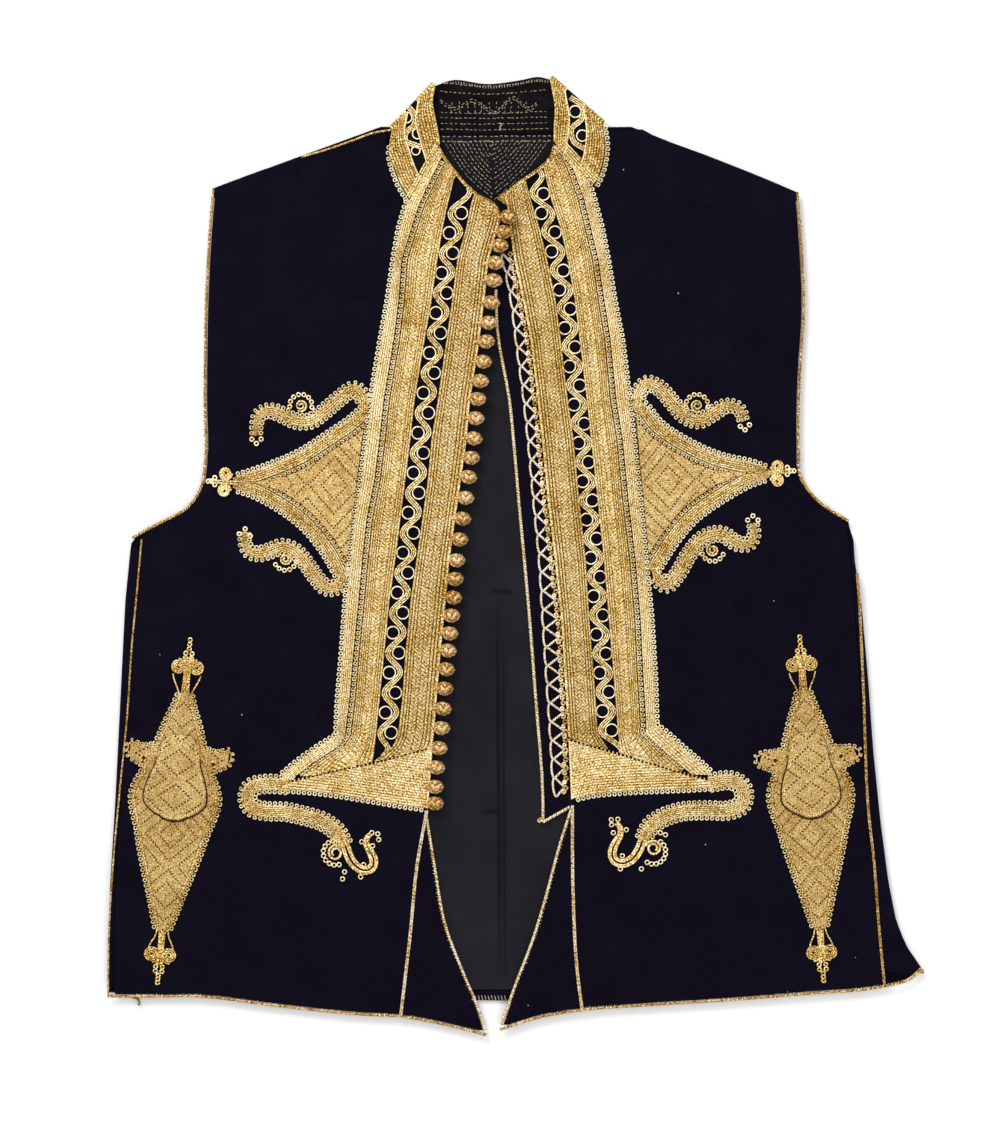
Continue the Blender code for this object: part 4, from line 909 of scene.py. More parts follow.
def rings(centres, radius, cord, z, around=10, sides=4, tone=0.85):
    """Small closed rings of thin cord, each lying flat at its centre."""
    centres = np.asarray(centres, float)
    a = np.linspace(0, 2 * np.pi, around, endpoint=False)[:, None]
    b = np.linspace(0, 2 * np.pi, sides, endpoint=False)[None, :] + 0.4
    r = np.broadcast_to(radius, len(centres))[:, None, None]
    x = (r + cord * np.cos(b)) * np.cos(a)
    y = (r + cord * np.cos(b)) * np.sin(a)
    h = np.broadcast_to(cord * np.sin(b), (around, sides))
    z = height_at(z, centres)
    co = np.stack([centres[:, 0, None, None] + x, centres[:, 1, None, None] + y, z[:, None, None] + h], axis=3)
    i = np.arange(around * sides).reshape(around, sides)
    j = np.roll(i, -1, 1)
    one = np.stack([i, j, np.roll(j, -1, 0), np.roll(i, -1, 0)], axis=2).reshape(-1, 4)
    faces = (one[None] + (np.arange(len(centres)) * around * sides)[:, None, None]).reshape(-1, 4)
    return part(co, [faces], 0.0, tone)


def wave(middle, y0, pitch, count, reach):
    """Line that swings to the other side of each eyelet: reach cos(pi (y0 - y) / pitch)."""
    y = np.linspace(y0 + pitch * 1.9, y0 - pitch * (count + 0.2), count * 12)
    return np.column_stack([middle(y) - reach * np.cos(np.pi * (y0 - y) / pitch), y])


def braid_panel(k, toward):
    """All parts of one panel, in rows of constant y from the neck down to the foot."""
    table = PANEL[k]
    rng = np.random.default_rng(7 + k)
    neck, mitre, foot = (np.array(pair[k], float) for pair in (NECK, MITRE, FOOT_TOP))

    def clips(y):
        """The lowest and the highest x that the panel reaches at y."""
        collar = np.where(y > mitre[0, 1], x_at(mitre, y) + toward * 0.5, -toward * FAR)
        front = np.where(y > neck[-1, 1], x_at(neck, y) - toward * 0.2, toward * FAR)
        front = np.where(y < foot[0, 1], x_at(foot, y) - toward * 0.6, front)
        return (front, collar) if k else (collar, front)

    parts = []
    top, bottom = table[0][0] - 0.6, table[-1][0]
    for (col_a, in_a, col_b, in_b), groove, tone, works in ZONES:
        for kind, share_a, share_b, count in works:
            y = np.arange(top, bottom - 2.6, -2.6 if kind == "cords" else -0.62)
            a = edge_x(table, y, col_a) + toward * in_a
            b = edge_x(table, y, col_b) + toward * in_b
            parts += band(y, a + (b - a) * share_a, a + (b - a) * share_b, *clips(y), kind, count, rng, groove, tone)
    y0, pitch, count = EYELETS[k]

    def middle(y):
        return (edge_x(table, y, 2) + edge_x(table, y, 3)) / 2

    line = wave(middle, y0, pitch, count, 5.0)
    low, high = clips(line[:, 1])
    inside = (line[:, 0] > low + 1.2) & (line[:, 0] < high - 1.2)
    line = line[np.flatnonzero(inside)[0]:np.flatnonzero(inside)[-1] + 1]
    parts += strands(line, (-1.35, 0, 1.35), above(0.85), 0.48, 0.68)
    ring_y = y0 - pitch * np.arange(count)
    ring_x = middle(ring_y) + np.where(np.arange(count) % 2, -2.7, 2.7)
    centres = np.column_stack([ring_x, ring_y])
    parts.append(rings(centres, 4.35, 0.5, above(0.5), 20, 6, 0.92))
    y = np.arange(top, bottom, -1.5)
    for column, inset, tone, reach, pitch in ((4, 1.3, 0.76, 2.6, 3.6), (5, -0.2, 1.0, 3.0, 3.7)):
        path = np.column_stack([edge_x(table, y, column) + toward * inset, y])
        low, high = clips(y)
        path = path[(path[:, 0] > low + 1.5) & (path[:, 0] < high - 1.5)]
        parts.append(looped(path, toward, tone, pitch, reach))
    corner = neck
    if k:
        corner = np.concatenate([neck[:-1], [(-12.8, 250)]])
        y = np.arange(255, 243, -0.6)
        point = np.interp(y, [243.2, 249.6, 255], [-4.2, -12.8, -5.4])
        parts += band(y, point, edge_x(table, y, 1) + 0.3, -FAR, FAR, "cords", 3, rng, 0.8, 0.4)
    for inset, radius, tone in ((0.5, 0.55, 0.25), (1.6, 0.6, 0.5)):
        parts += strands(smooth(corner, 4), [toward * inset], above(BRAID - 0.1), radius, tone, 2.6)
    y = np.arange(neck[-1, 1], foot[0, 1], -2.5)
    path = np.column_stack([edge_x(table, y, 1) - toward * 0.4, y])
    parts.append(tube(path, above(BRAID - 0.3), 0.7, tone=0.58))
    path = spaced(mitre, 1.5) + (toward * 2.0, -0.8)
    parts.append(looped(path[2:-2], -toward, 0.72, 3.4, 2.0, above(BRAID + 0.1), 0.42))
    return parts


for k, word, sign in SIDES:
    gold_piece("braid", word, braid_panel(k, sign))


# ---------------------------------------------------------------- feet and tails
# Below each panel a wedge of level gold cords closes it off, along a seam of small stitches.
# Its outer end runs into a ribbon of six cords that turns back, and past its curl it parts into
# two pairs of cords.

FOOT_BOTTOM = ([(-164, -162.2), (-136.5, -164.5), (-101.5, -169.8), (-80.5, -173.3), (-61, -176)],
               [(138, -161), (122, -162), (101.5, -162.8), (73.5, -164.2), (52.5, -166.3), (39.5, -169.5)])
TAIL = ([(-158, -160), (-175, -159.3), (-184, -161.5), (-187, -168.5), (-184, -175.5), (-175, -178),
         (-161, -178.5), (-147, -181.5), (-133, -186), (-124, -193), (-118.5, -202.5), (-115, -211.5),
         (-110.5, -217), (-104.5, -219.5), (-99.8, -217.5), (-98.6, -212.5),
         (-101.3, -206), (-103.8, -200.5), (-103.5, -196.8), (-100.6, -194)],
        [(135, -158.5), (152, -157), (158, -160.3), (160, -166.5), (158.5, -173.5), (152, -177),
         (133.5, -177.5), (116, -178.5), (106, -181.5), (95, -188), (89, -199), (86, -206),
         (81, -212.2), (74.5, -214.6), (69, -212), (67.8, -207), (70, -200.5), (73.5, -194.2),
         (73.2, -189.4), (70.6, -186.2)])
# Curl of a tail: centre, radius, turns, start angle. Rings on an arc round it: how far the arc's
# centre lies below the curl's, first and last angle, count. Tip rings: last loops of the cord, x, y
TAIL_CURL = ((-125.3, -207.2, 5.8, 1.6, 0.3),
             (96.6, -203.9, 5.6, -1.6, 2.9))
CURL_RINGS = ((0, 1.38, 5.0, 10),
              (2.6, 0.95, -2.1, 9))
TIP_RINGS = ([(-100, -193.2), (-95.9, -194), (-95.2, -198), (-107, -199.5), (-99.4, -202.3), (-105.7, -215.6),
              (-107.8, -224), (-119, -220.5), (-120.4, -225.4)],
             [(67.2, -184.1), (71.8, -183.8), (67.4, -187.6), (77.7, -191.1), (68.6, -193.2), (74.9, -209.3),
              (73.5, -218.4), (88.2, -218.4), (101.5, -193.2), (105, -194.6)])
TAIL_HALF = 3.9
LEVEL_PITCH = 1.9


def couch(a, b, kind, count, rng, height=1.8, tone=0.5, rhomb=None, base=on_front):
    """A closed strip of couching between two lines with as many points.

    A kind may be a function of x, y. A field is level, and its rhombs are a function that gives q and w.
    """
    a, b = np.asarray(a, float), np.asarray(b, float)
    width = float(np.median(np.linalg.norm(b - a, axis=1)))
    share = columns_for(kind, count, width)
    co = a[:, None] + (b - a)[:, None] * share[None, :, None]
    along = np.broadcast_to(distances((a + b) / 2)[:, None], co.shape[:2])
    across = np.broadcast_to(share[None, :], co.shape[:2])
    crest = kind(co[..., 0], co[..., 1]) if callable(kind) else couched(kind, count, across, along, width)
    bottom = np.broadcast_to(base(co[..., 0], co[..., 1]), crest.shape)
    over = np.dstack([co, bottom + height * (0.5 + 0.5 * crest)])
    shade = rng.uniform(-0.06, 0.06, 24)[(across * max(count, 1)).astype(int) % 24]
    # Crests of a kind given as a function get a lighter tone as painted highlight; deep paints shade in the grooves,
    # more of it for such kinds.
    painted_highlight = 0.25 * (crest - 0.6) if callable(kind) else 0.0
    flow = np.stack([across * width, along] if rhomb is None else rhomb(co[..., 0], co[..., 1]), axis=2)
    groove = 0.88 if callable(kind) else 0.74
    made = slab(over, bottom, (1 - crest)**0.9 * groove, tone + shade * (rhomb is None) + painted_highlight, flow)
    made["rhomb"] += rhomb is not None
    return made


def taper(count, start, end, length):
    """Half widths along a ribbon: from start to 1 and from 1 to end, over a share of its length."""
    t = np.linspace(0, 1, count)
    return np.minimum(np.minimum(1, start + (1 - start) * t / length), end + (1 - end) * (1 - t) / length)


def ribbon(table, half, count, rng, ends=(1.0, 0.55), loops=(True, True), skip=(0, 0), length=0.25):
    """A ribbon of cords along a path, with a looped cord along its edges."""
    path = spaced(smooth(table, 6), 1.3)
    wide = half * taper(len(path), *ends, length)
    parts = [couch(beside(path, -wide), beside(path, wide), "cords", count, rng, tone=0.52)]
    for on, side in zip(loops, (-1, 1)):
        if on:
            edge = beside(path, side * (wide - 0.2))[skip[0]:len(path) - skip[1]]
            parts.append(looped(spaced(edge, 1.2), side, 0.82))
    return parts


def spiral(centre_x, centre_y, radius, turns, start, cord, tone=0.6, inner=0.9):
    """A cord that winds inwards: r falls evenly from the radius to the inner one. Turns < 0 go clockwise."""
    t = np.linspace(0, 1, int(abs(turns) * 15) + 2)
    r = radius + (inner - radius) * t
    a = start + 2 * np.pi * turns * t
    path = np.column_stack([centre_x + r * np.cos(a), centre_y + r * np.sin(a)])
    return tube(path, above(0.9), cord, 5, tone=tone)


def bars(starts, ends, z, radius=0.3, tone=0.8):
    """Straight stitches: thin four-sided bars between two lists of points, with their middle raised."""
    a, b = np.asarray(starts, float), np.asarray(ends, float)
    n = len(a)
    out = right_of(unit(b - a)) * radius
    middle = (a + b) / 2
    rows = []
    for p, rise in ((a, 0.0), (middle, 0.35 * radius), (b, 0.0)):
        zz = height_at(z, p) + rise
        rows += [np.column_stack([p + out, zz]), np.column_stack([p, zz + radius]), np.column_stack([p - out, zz]),
                 np.column_stack([p, zz - radius])]
    co = np.stack(rows, axis=1).reshape(-1, 3)
    one = [[0, 3, 2, 1], [8, 9, 10, 11]]
    for k in (0, 4):
        one += [[k + i, k + (i + 1) % 4, k + 4 + (i + 1) % 4, k + 4 + i] for i in range(4)]
    faces = (np.array(one)[None] + (np.arange(n) * 12)[:, None, None]).reshape(-1, 4)
    return part(co, [faces], 0.0, tone)


for k, word, sign in SIDES:
    top, tail = FOOT_TOP[k], TAIL[k]
    rng = np.random.default_rng(17)
    upper = spaced(beside(smooth(top, 4), -sign * 1.0), 1.5)
    low = evenly(spaced(smooth(FOOT_BOTTOM[k][::-1], 4), 0.5), len(upper))

    def level(x, y, edge=low[np.argsort(low[:, 0])]):
        """Cords level with the lower edge, cut off by the slanting seam."""
        return rounded(np.clip(y - np.interp(x, edge[:, 0], edge[:, 1]), 0.01, None) / LEVEL_PITCH)

    parts = [couch(upper, low, level, 110, rng, tone=0.55)]
    parts.append(looped(spaced(low, 1.2)[2:], -sign, 1.0))
    parts += ribbon(tail[:11], TAIL_HALF, 6, rng, (1.0, 0.85), length=0.1)
    path = spaced(smooth(tail[9:], 6), 1.2)
    narrow = np.interp(np.linspace(0, 1, len(path)), [0, 0.7, 1], [1, 0.9, 0.35])
    for offset in (-2.7, -1.3, 1.3, 2.7):
        parts += strands(path, [offset * narrow], above(0.8), 0.68, 0.6)
    cx, cy = TAIL_CURL[k][:2]
    parts.append(spiral(*TAIL_CURL[k], 0.8, inner=2.2))
    drop, first, last, count = CURL_RINGS[k]
    a = np.linspace(first, last, count)
    around = np.column_stack([cx + 8.6 * np.cos(a), cy - drop + 8.6 * np.sin(a)])
    parts.append(rings(np.concatenate([around, TIP_RINGS[k]]), 1.4, 0.42, on_cloth))
    seam = spaced(beside(smooth(top, 4), -sign * 0.5), 2.9)
    parts.append(bars(seam - (0.2, 1.0), seam + (0.2, 1.0), above(1.3), 0.5, 0.6))
    front = np.column_stack([upper[0], low[0]]).T
    parts.append(tube(spaced(front, 1.5) - (sign * 0.3, 0), on_front(*upper[0]) + 1.6, 0.75, 6, tone=0.75))
    gold_piece("foot", word, parts)


# ---------------------------------------------------------------- wings
# A pointed wing of gold on each side of the chest: cords along both edges, a looped cord inside
# them, and a field of stitching in nested rhombs. Scrolls grow from its roots above and below,
# and it ends in two small spirals and a knot.

WING_RIM = 7.4
WING_GROOVE = 3.7
PANEL_ROOM = 3.8
WING_TOP = ([(-100.4, 109), (-115.5, 95), (-129.5, 85.5), (-150.5, 72), (-171.5, 63), (-185.5, 58),
             (-197, 54.5)],
            [(79.2, 108), (88, 107), (101.5, 92.5), (119.5, 80.5), (144, 69.5), (168, 64), (178, 60)])
WING_BOTTOM = ([(-197, 47.5), (-185.5, 44), (-164.5, 33), (-147, 19.5), (-133, 2), (-124, -13.5),
                (-117.2, -24)],
               [(178, 55), (168, 52), (144, 39), (126, 26), (112.5, 10.5), (101.5, -6.5), (94, -19)])
SCROLL_TOP = ([(-106, 100), (-106, 110), (-111.5, 116.5), (-122.5, 110), (-133, 101), (-143.5, 94),
               (-154, 94.5), (-162.5, 98.5), (-171.5, 101.5), (-178, 99), (-180.5, 91), (-180.5, 84)],
              [(84.5, 103), (86.5, 114), (92, 120.5), (99.5, 118), (110, 107), (119.5, 97),
               (128, 94.5), (138, 99.5), (148.5, 105), (156, 103), (159.5, 94)])
SCROLL_LOW = ([(-119.5, -14), (-123.5, -21), (-131, -22.5), (-138, -16), (-143.5, -8.5),
               (-148.5, -1.5), (-154.5, 4), (-162.5, 6.5), (-170, 4), (-178.5, 1.5), (-185.5, 3),
               (-188.5, 9), (-188.5, 17)],
              [(98, -8), (100, -16), (105.5, -20.5), (112.5, -14), (122, 2), (131.5, 12.5), (144, 15.5),
               (156, 8.5), (163.5, 8.5), (167, 15), (166, 23)])
# Curls of the scrolls: centre, radius, turns, start angle
SCROLL_CURLS = ([(-149.5, 105, 5.2, 1.8, 4.2), (-160.3, -2.2, 5.2, -1.9, 1.2)],
                [(127, 105, 5.2, -1.8, 5.2), (138, 4, 5.2, 1.9, 2.0)])
WING_SPIRALS = ([(-202, 57.6), (-203, 45.6)],
                [(183, 62.6), (183, 52.6)])
WING_KNOT = ([(-194, 51), (-213.5, 52.2)],
             [(174, 57.5), (194, 59.4)])
# Last loops of the cord at the scrolls' tips
WING_TIPS = ([(-180.5, 78.5), (-183.6, 81.5), (-177.2, 81.5), (-188.3, 18.9), (-192.5, 15.4), (-184.8, 14)],
             [(160.5, 88), (157.2, 90.4), (163.5, 91.5), (166, 28), (169.6, 25), (162.4, 25)])


def rhombs(start, end, first, reach, slope):
    """Nested rhombs in a row on an axis, the first one centred at a distance from its start.

    With u along the axis from the nearest centre and v across it, q = slope |v| + |u| and
    w = slope |v| - |u|.
    """
    start = np.array(start, float)
    along = unit(end - start)

    def furrows(x, y):
        s = (x - start[0]) * along[0] + (y - start[1]) * along[1]
        v = slope * np.abs((y - start[1]) * along[0] - (x - start[0]) * along[1])
        u = np.abs((s - first + reach / 2) % reach - reach / 2)
        return v + u, v - u

    return furrows


for k, word, sign in SIDES:
    rng = np.random.default_rng(27)
    edges = []
    for p in (smooth(WING_TOP[k], 6)[::-1], smooth(WING_BOTTOM[k], 6)):
        x = p[0, 0] + (p[-1, 0] - p[0, 0]) * np.linspace(0, 0.963, 124)
        edges.append(np.column_stack([x, np.interp(x, p[::sign, 0], p[::sign, 1])]))
    high, low = edges
    wide = np.linalg.norm(high - low, axis=1)
    rim = np.minimum(WING_RIM, 0.47 * wide)
    groove = np.minimum(WING_GROOVE, 0.25 * (wide - 2 * rim))

    def inside(distance, table=PANEL[k], lines=((high, sign), (low, -sign)), sign=sign):
        """The wing's two edges moved inwards, and kept off the panel."""
        for line, side in lines:
            x, y = beside(line, side * distance).T
            yield np.column_stack([sign * np.minimum(sign * x, sign * edge_x(table, y, 5) - PANEL_ROOM), y])

    parts = [couch(outer, inner, "cords", 5, rng) for outer, inner in zip((high, low), inside(rim))]
    parts.append(couch(*inside(rim + groove), "field", 80, rng, 1.7, 0.43,
                       rhombs((high[0, 0], 51.2 if sign > 0 else 57.2), (0, 46), 71, 38, 0.9)))
    for line, side in zip(inside(rim + 0.7), (sign, -sign)):
        parts.append(looped(spaced(line[wide > 15], 1.2), side, 0.7, 3.6, 2.3))
    for line, side in ((high, -sign), (low, sign)):
        parts.append(looped(spaced(line, 1.2)[2:-2], side, 1.0))
    for scroll in (SCROLL_TOP[k], SCROLL_LOW[k]):
        parts += ribbon(scroll, 3.0, 4, rng, (1.0, 0.5), skip=(5, 0))
    for cx, cy, radius, turns, start in SCROLL_CURLS[k]:
        parts.append(spiral(cx, cy, radius - 0.8, turns, start, 0.65, 0.5))
        a = np.linspace(0, 2 * np.pi, 14)[1:-1] + (start if cy > 50 else start + 1.0)
        side = [(cx + (radius + 2.6) * np.cos(t), cy + (radius + 2.6) * np.sin(t)) for t in a
                if (np.sin(t) > -0.2) == (cy > 50)]
        parts.append(rings(side, 1.25, 0.5, on_cloth, tone=0.75))
    for centre, turn in zip(WING_SPIRALS[k], (-1, 1)):
        parts.append(spiral(*centre, 4.6, 2.6 * sign * turn, np.pi * k, 0.8))
    stem = np.array(WING_KNOT[k], float)
    parts += strands(spaced(stem, 1.2), (-0.8, 0.8), above(0.9), 0.75, 0.55, 3.0)
    knots = stem[1] + np.array([(4, 2.4), (4, -2.4), (1.4, 0), (-0.6, 0)]) * (sign, 1)
    parts.append(rings(np.concatenate([knots, WING_TIPS[k]]), 1.3, 0.55, above(1.15)))
    gold_piece("wing", word, parts)


# ---------------------------------------------------------------- pocket leaves and flaps
# A long pointed leaf over each pocket, with an ear on each side and spirals at both points. The
# pocket's slit is covered by a padded flap with a cord round its rim.

LEAF = [(36.5, 2.2), (41, 3.8), (50.5, 6.9), (60.5, 10.9), (70.6, 14.2), (84, 18.4), (97, 24), (107.5, 29),
        (114.5, 29.8), (125, 27.5), (135.5, 24), (147.5, 21), (158, 18), (168, 15), (179, 11.5),
        (190, 8.3), (199, 5.6), (208, 3)]
FLAP = [(68, 6), (75, 12.5), (90, 15.5), (100.5, 19.5), (110, 21.5), (116, 21.3), (120, 18.3), (125, 10.5),
        (128.2, 3)]
LEAF_EAR = ([(14, 76), (27, 79), (34.5, 77), (36, 81.3), (34.5, 86), (29, 89.3), (18, 95)],
            [(14, 80), (26.5, 81.5), (34, 81.8), (38, 84.2), (36.5, 88.8), (31, 91.3), (18, 97)])
LEAF_AXIS = (((-226.5, -56.5), (-249.5, -297)),
             ((198.5, -54.5), (215.5, -298)))
# Finials: along, across, radius of the spirals; the knots above and below them lie on the axis
LEAF_SPIRALS = [(21, 6.6, 5.4, 1), (223, 6.2, 5.6, -1)]
LEAF_KNOTS = [(2, 0), (5.2, 0), (8.4, 0), (11.6, 2.2), (11.6, -2.2), (14.8, 2.2), (14.8, -2.2),
              (231.2, 2.3), (231.2, -2.3),
              (234.4, 2.3), (234.4, -2.3), (237.2, 0), (239.8, 0), (242.4, 0)]
# Height of a flap over the cloth, and reach of its swell along X and Y
FLAP_FLOOR = 1.8 + GAP
FLAP_SWELL = (24, 32)


def on_leaf(axis, points, width=1.0):
    """Places points given as across, along on a leaf's axis."""
    top, end = np.array(axis[0], float), np.array(axis[1], float)
    along = unit(end - top)
    across = np.array([-along[1], along[0]])
    p = np.array(points, float)
    return top + p[:, :1] * across * width + p[:, 1:] * along


for k, word, _ in SIDES:
    axis, width = LEAF_AXIS[k], (1.0, 0.94)[k]
    rng = np.random.default_rng(37)
    s = np.arange(LEAF[0][0], LEAF[-1][0], 0.9)
    table = smooth(LEAF, 4)
    half = np.interp(s, table[:, 0], table[:, 1])
    rim = np.minimum(2.2, 0.42 * half)
    (left, left_in), (right, right_in) = ([on_leaf(axis, np.column_stack([sign * h, s]), width)
                                           for h in (half, half - rim)] for sign in (-1, 1))
    parts = []
    for sign, edge, inner in ((-1, left, left_in), (1, right, right_in)):
        parts.append(couch(edge[::3], inner[::3], "cords", 1, rng, tone=0.36))
        parts.append(looped(spaced(edge, 1.2)[3:-2], -sign, 0.62))
    parts.append(couch(left_in, right_in, "field", 60, rng, 1.7, 0.35, rhombs(*axis, 97, 42, 1.0)))
    for sign in (-1, 1):
        e = np.array(LEAF_EAR[k], float) * (sign, 1)
        upper, lower = spaced(smooth(e[:3], 4), 1.3), spaced(smooth(e[:3:-1], 4), 1.3)
        a, b = (on_leaf(axis, evenly(line, min(len(upper), len(lower))), width) for line in (upper, lower))
        parts.append(couch(a, b, "field", 16, rng, 1.6, 0.36, rhombs(*axis, 84, 9, 0.6)))
        eye = on_leaf(axis, [(sign * 24.5, 87)], width)
        parts.append(rings(eye, 1.9, 0.6, above(1.9), tone=0.4))
        parts.append(rings(eye, 0.6, 0.8, above(1.3), tone=0.0))
        parts[-1]["deep"] = parts[-1]["deep"] + 1.0
        rim_path = spaced(on_leaf(axis, smooth(e, 4), width), 1.2)
        parts.append(looped(rim_path[4:-3], -sign, 0.62, 3.4, 2.4))
        for along, across, radius, turn in LEAF_SPIRALS:
            centre = on_leaf(axis, [(sign * across, along)], width)[0]
            parts.append(spiral(*centre, radius, 3.3 * sign * turn, 1.5 * turn, 0.62, 0.38, 0.7))
        for lyre in ([(9.8, 26.5), (8.8, 30), (6.6, 34.5), (4.2, 40)],
                     [(9.0, 220), (7.6, 215.5), (5, 210.5), (3.6, 204)]):
            path = spaced(on_leaf(axis, smooth(np.array(lyre) * (sign, 1), 5), width), 1.3)
            parts.append(tube(path, above(0.7), 0.5, 5, tone=0.5))
    for first, last, spread in ((14, 40, 2.2), (205, 230, 1.9)):
        for offset in (-spread, -0.75, 0.75, spread):
            path = spaced(on_leaf(axis, [(offset, first), (offset * 0.8, (first + last) / 2), (offset, last)]), 1.4)
            parts.append(tube(path, above(0.8), 0.7, 5, tone=0.36))
    knots = on_leaf(axis, [(c, a) for a, c in LEAF_KNOTS])
    parts.append(rings(knots, 1.25, 0.55, above(0.75), tone=0.55))
    gold_piece("pocket_leaf", word, parts)

    s = np.arange(FLAP[0][0] + 0.5, FLAP[-1][0] - 0.1, 0.9)
    table = smooth(FLAP, 4)
    half = np.interp(s, table[:, 0], table[:, 1])
    a, b = (on_leaf(axis, np.column_stack([sign * half, s]), width) for sign in (-1, 1))
    top_part = couch(a, b, "field", 50, rng, 1.3, 0.40, rhombs(*axis, 112, 24, 0.8), above(FLAP_FLOOR))
    x, y = ((top_part["co"][:, :2] - on_leaf(axis, [(0, 100)])[0]) / FLAP_SWELL).T
    high = top_part["co"][:, 2] > height_at(above(FLAP_FLOOR), top_part["co"]) + 0.2
    top_part["co"][:, 2] += high * 0.9 * np.clip(1 - x**2 - y**2, 0, 1)
    rim = smooth([*[(w, a) for a, w in FLAP[1:]], *[(-w, a) for a, w in FLAP[:0:-1]]], 5)
    rim = spaced(on_leaf(axis, rim, width), 1.2)
    path = beside(rim, 1.6)
    parts = [top_part, tube(path, above(FLAP_FLOOR + 1.25), 0.7, 6, 3.4, 0.6)]
    # A very dark cord along the flap's rim, thickest at its bottom, is painted shadow under the flap's edge.
    path = beside(rim[8:-8], -0.5)
    thick = 0.35 + 0.6 * np.sin(np.linspace(0, np.pi, len(path)))**2
    flap_shadow = tube(path, above(1.9), thick, tone=0.0)
    flap_shadow["deep"] = flap_shadow["deep"] + 1.0
    parts.append(flap_shadow)
    gold_piece("pocket_flap", word, parts)


# ---------------------------------------------------------------- collar braid
# On each folded front of the collar: plain cords along the top edge and by the seam, and between
# them openwork of a three-cord wave with rings. Cords along the mitred end finish it.

COLLAR_TOP = COLLAR_FOLD * 2 + GAP
# Share of the width at which the cords along the top edge begin, and cords along the mitred end
COLLAR_SPLIT = (0.64, 0.74)
MITRE_CORDS = (2, 4)
# Looped cord by the seam: how far it lies inside at its top, and the height it reaches
PICOT_INSET = (2.2, 0)
PICOT_TOP = (288, 330)
# Rings, x, y, radius, and the line of the wave that goes round them
COLLAR_RINGS = ([(-75.6, 305.9, 3.7), (-67.9, 294.7, 3.7), (-69.3, 282.8, 3.0)],
                [(42, 310.1, 4.1), (46.9, 293.3, 3.9)])
COLLAR_WAVE = ([(-74.5, 313.5), (-69.5, 307), (-70.5, 300.5), (-76, 295.5), (-76.5, 290), (-70.5, 287), (-63.5, 285)],
               [(38.5, 320), (47, 313.5), (46.5, 305), (39.5, 298), (41, 289), (50, 283), (55, 274)])


for k, word, sign in SIDES:
    half, split = COLLAR_HALF[k], COLLAR_SPLIT[k]
    rng = np.random.default_rng(47)
    rows = smooth(half, 8)
    crease = unit(rows[-1, 2:] - rows[-1, :2])
    outward = sign * np.array([-crease[1], crease[0]])
    past = np.array([1.1, 2.0, 2.6, 2.95])[:, None] * outward
    rows = np.concatenate([rows, np.hstack([rows[-1, :2] + past, rows[-1, 2:] + past])])
    seam, free = rows[:, :2], rows[:, 2:]

    def on_collar(x, y, corner=half[-1], outward=outward):
        """The collar's top, and its round fold: it drops by 3 - sqrt(9 - d^2) past the crease."""
        d = np.clip((x - corner[0]) * outward[0] + (y - corner[1]) * outward[1], 0, COLLAR_FOLD)
        return COLLAR_TOP - COLLAR_FOLD + np.sqrt(COLLAR_FOLD**2 - d**2)

    def raised(rise, floor=on_collar):
        return lambda x, y: floor(x, y) + rise

    def at(share, seam=seam, free=free):
        return seam + (free - seam) * share

    parts = [couch(at(0.015), at(0.36), "cords", 7, rng, BRAID, 0.4, base=on_collar),
             couch(at(split), at(0.985), "cords", 6 - k, rng, BRAID, 0.38, base=on_collar)]
    for share in (0.36 + 0.012, split - 0.012):
        parts.append(tube(at(share), raised(BRAID - 0.3), 0.55, tone=0.8))
    parts += strands(spaced(smooth(COLLAR_WAVE[k], 6), 1.2), (-1.35, 0, 1.35), raised(0.9), 0.5, 0.66)
    for x, y, radius in COLLAR_RINGS[k]:
        parts.append(rings([(x, y)], radius, 0.5, COLLAR_TOP + 0.7, 18, 6, 0.95))
    mitre = spaced(np.array([half[0][:2], half[0][2:]], float), 1.4)
    for row in range(MITRE_CORDS[k]):
        path = beside(mitre, -sign * (0.7 + 1.6 * row))[1:-1]
        parts.append(tube(path, COLLAR_TOP + BRAID - 0.2, 0.62, tone=0.6))
    outer = spaced(beside(seam, -sign * 0.2), 1.2)
    outer[:, 0] += np.interp(outer[:, 1], [270, 284], [0, PICOT_INSET[k]])
    parts.append(looped(outer[outer[:, 1] < PICOT_TOP[k]], -sign, 0.95, reach=2.8, z=COLLAR_TOP - 0.4))
    parts.append(tube(free[:-1], raised(BRAID - 0.7), 0.75, 6, 3.0, 0.5))
    gold_piece("collar", word, parts, "collar_braid")


# ---------------------------------------------------------------- quilting of the collar and the lining
# Pale thread in running stitch: rows round the collar's back, a wavy line between them, and nested
# V lines on the lining below the neck that meet in a point.

THREAD_ROWS = [[(-52, 331), (-20, 328.5), (0, 330), (22, 333)], [(-53, 325), (-20, 323), (22, 326)],
               [(-52.5, 310), (-20, 309.5), (24, 311)], [(-52.5, 306.5), (-20, 306), (24, 307)],
               [(-52.5, 302.5), (-20, 302), (24, 303)], [(-52, 298.5), (-20, 298), (26, 299)]]
THREAD_WAVE = [(-52.5, 319.2), (-42, 313.6), (-30, 319.2), (-14, 310.8), (-1.4, 321.3), (10.5, 313.6), (17.5, 319.2)]
POINT = (-14.5, 247)


def running(path, stitch, space, rng):
    """Ends of the stitches of a running stitch along a path, with a little unevenness."""
    line = spaced(np.array(path, float), 0.5)
    s = distances(line)
    a = np.arange(0.5, s[-1] - stitch, stitch + space)
    a = a + rng.uniform(-0.45, 0.45, len(a))
    b = a + stitch * rng.uniform(0.8, 1.1, len(a))
    return [places(line, s, t) + rng.uniform(-0.3, 0.3, (len(a), 2)) for t in (a, b)]


def thread_finish():
    """Dull tan cotton thread."""
    n = Nodes("quilting_thread")
    return n.close(n.ramp(n.noise(400.0, 3.0), [(0.3, (0.16, 0.12, 0.075)), (0.7, (0.62, 0.52, 0.37))]), 0.8, 0.1)


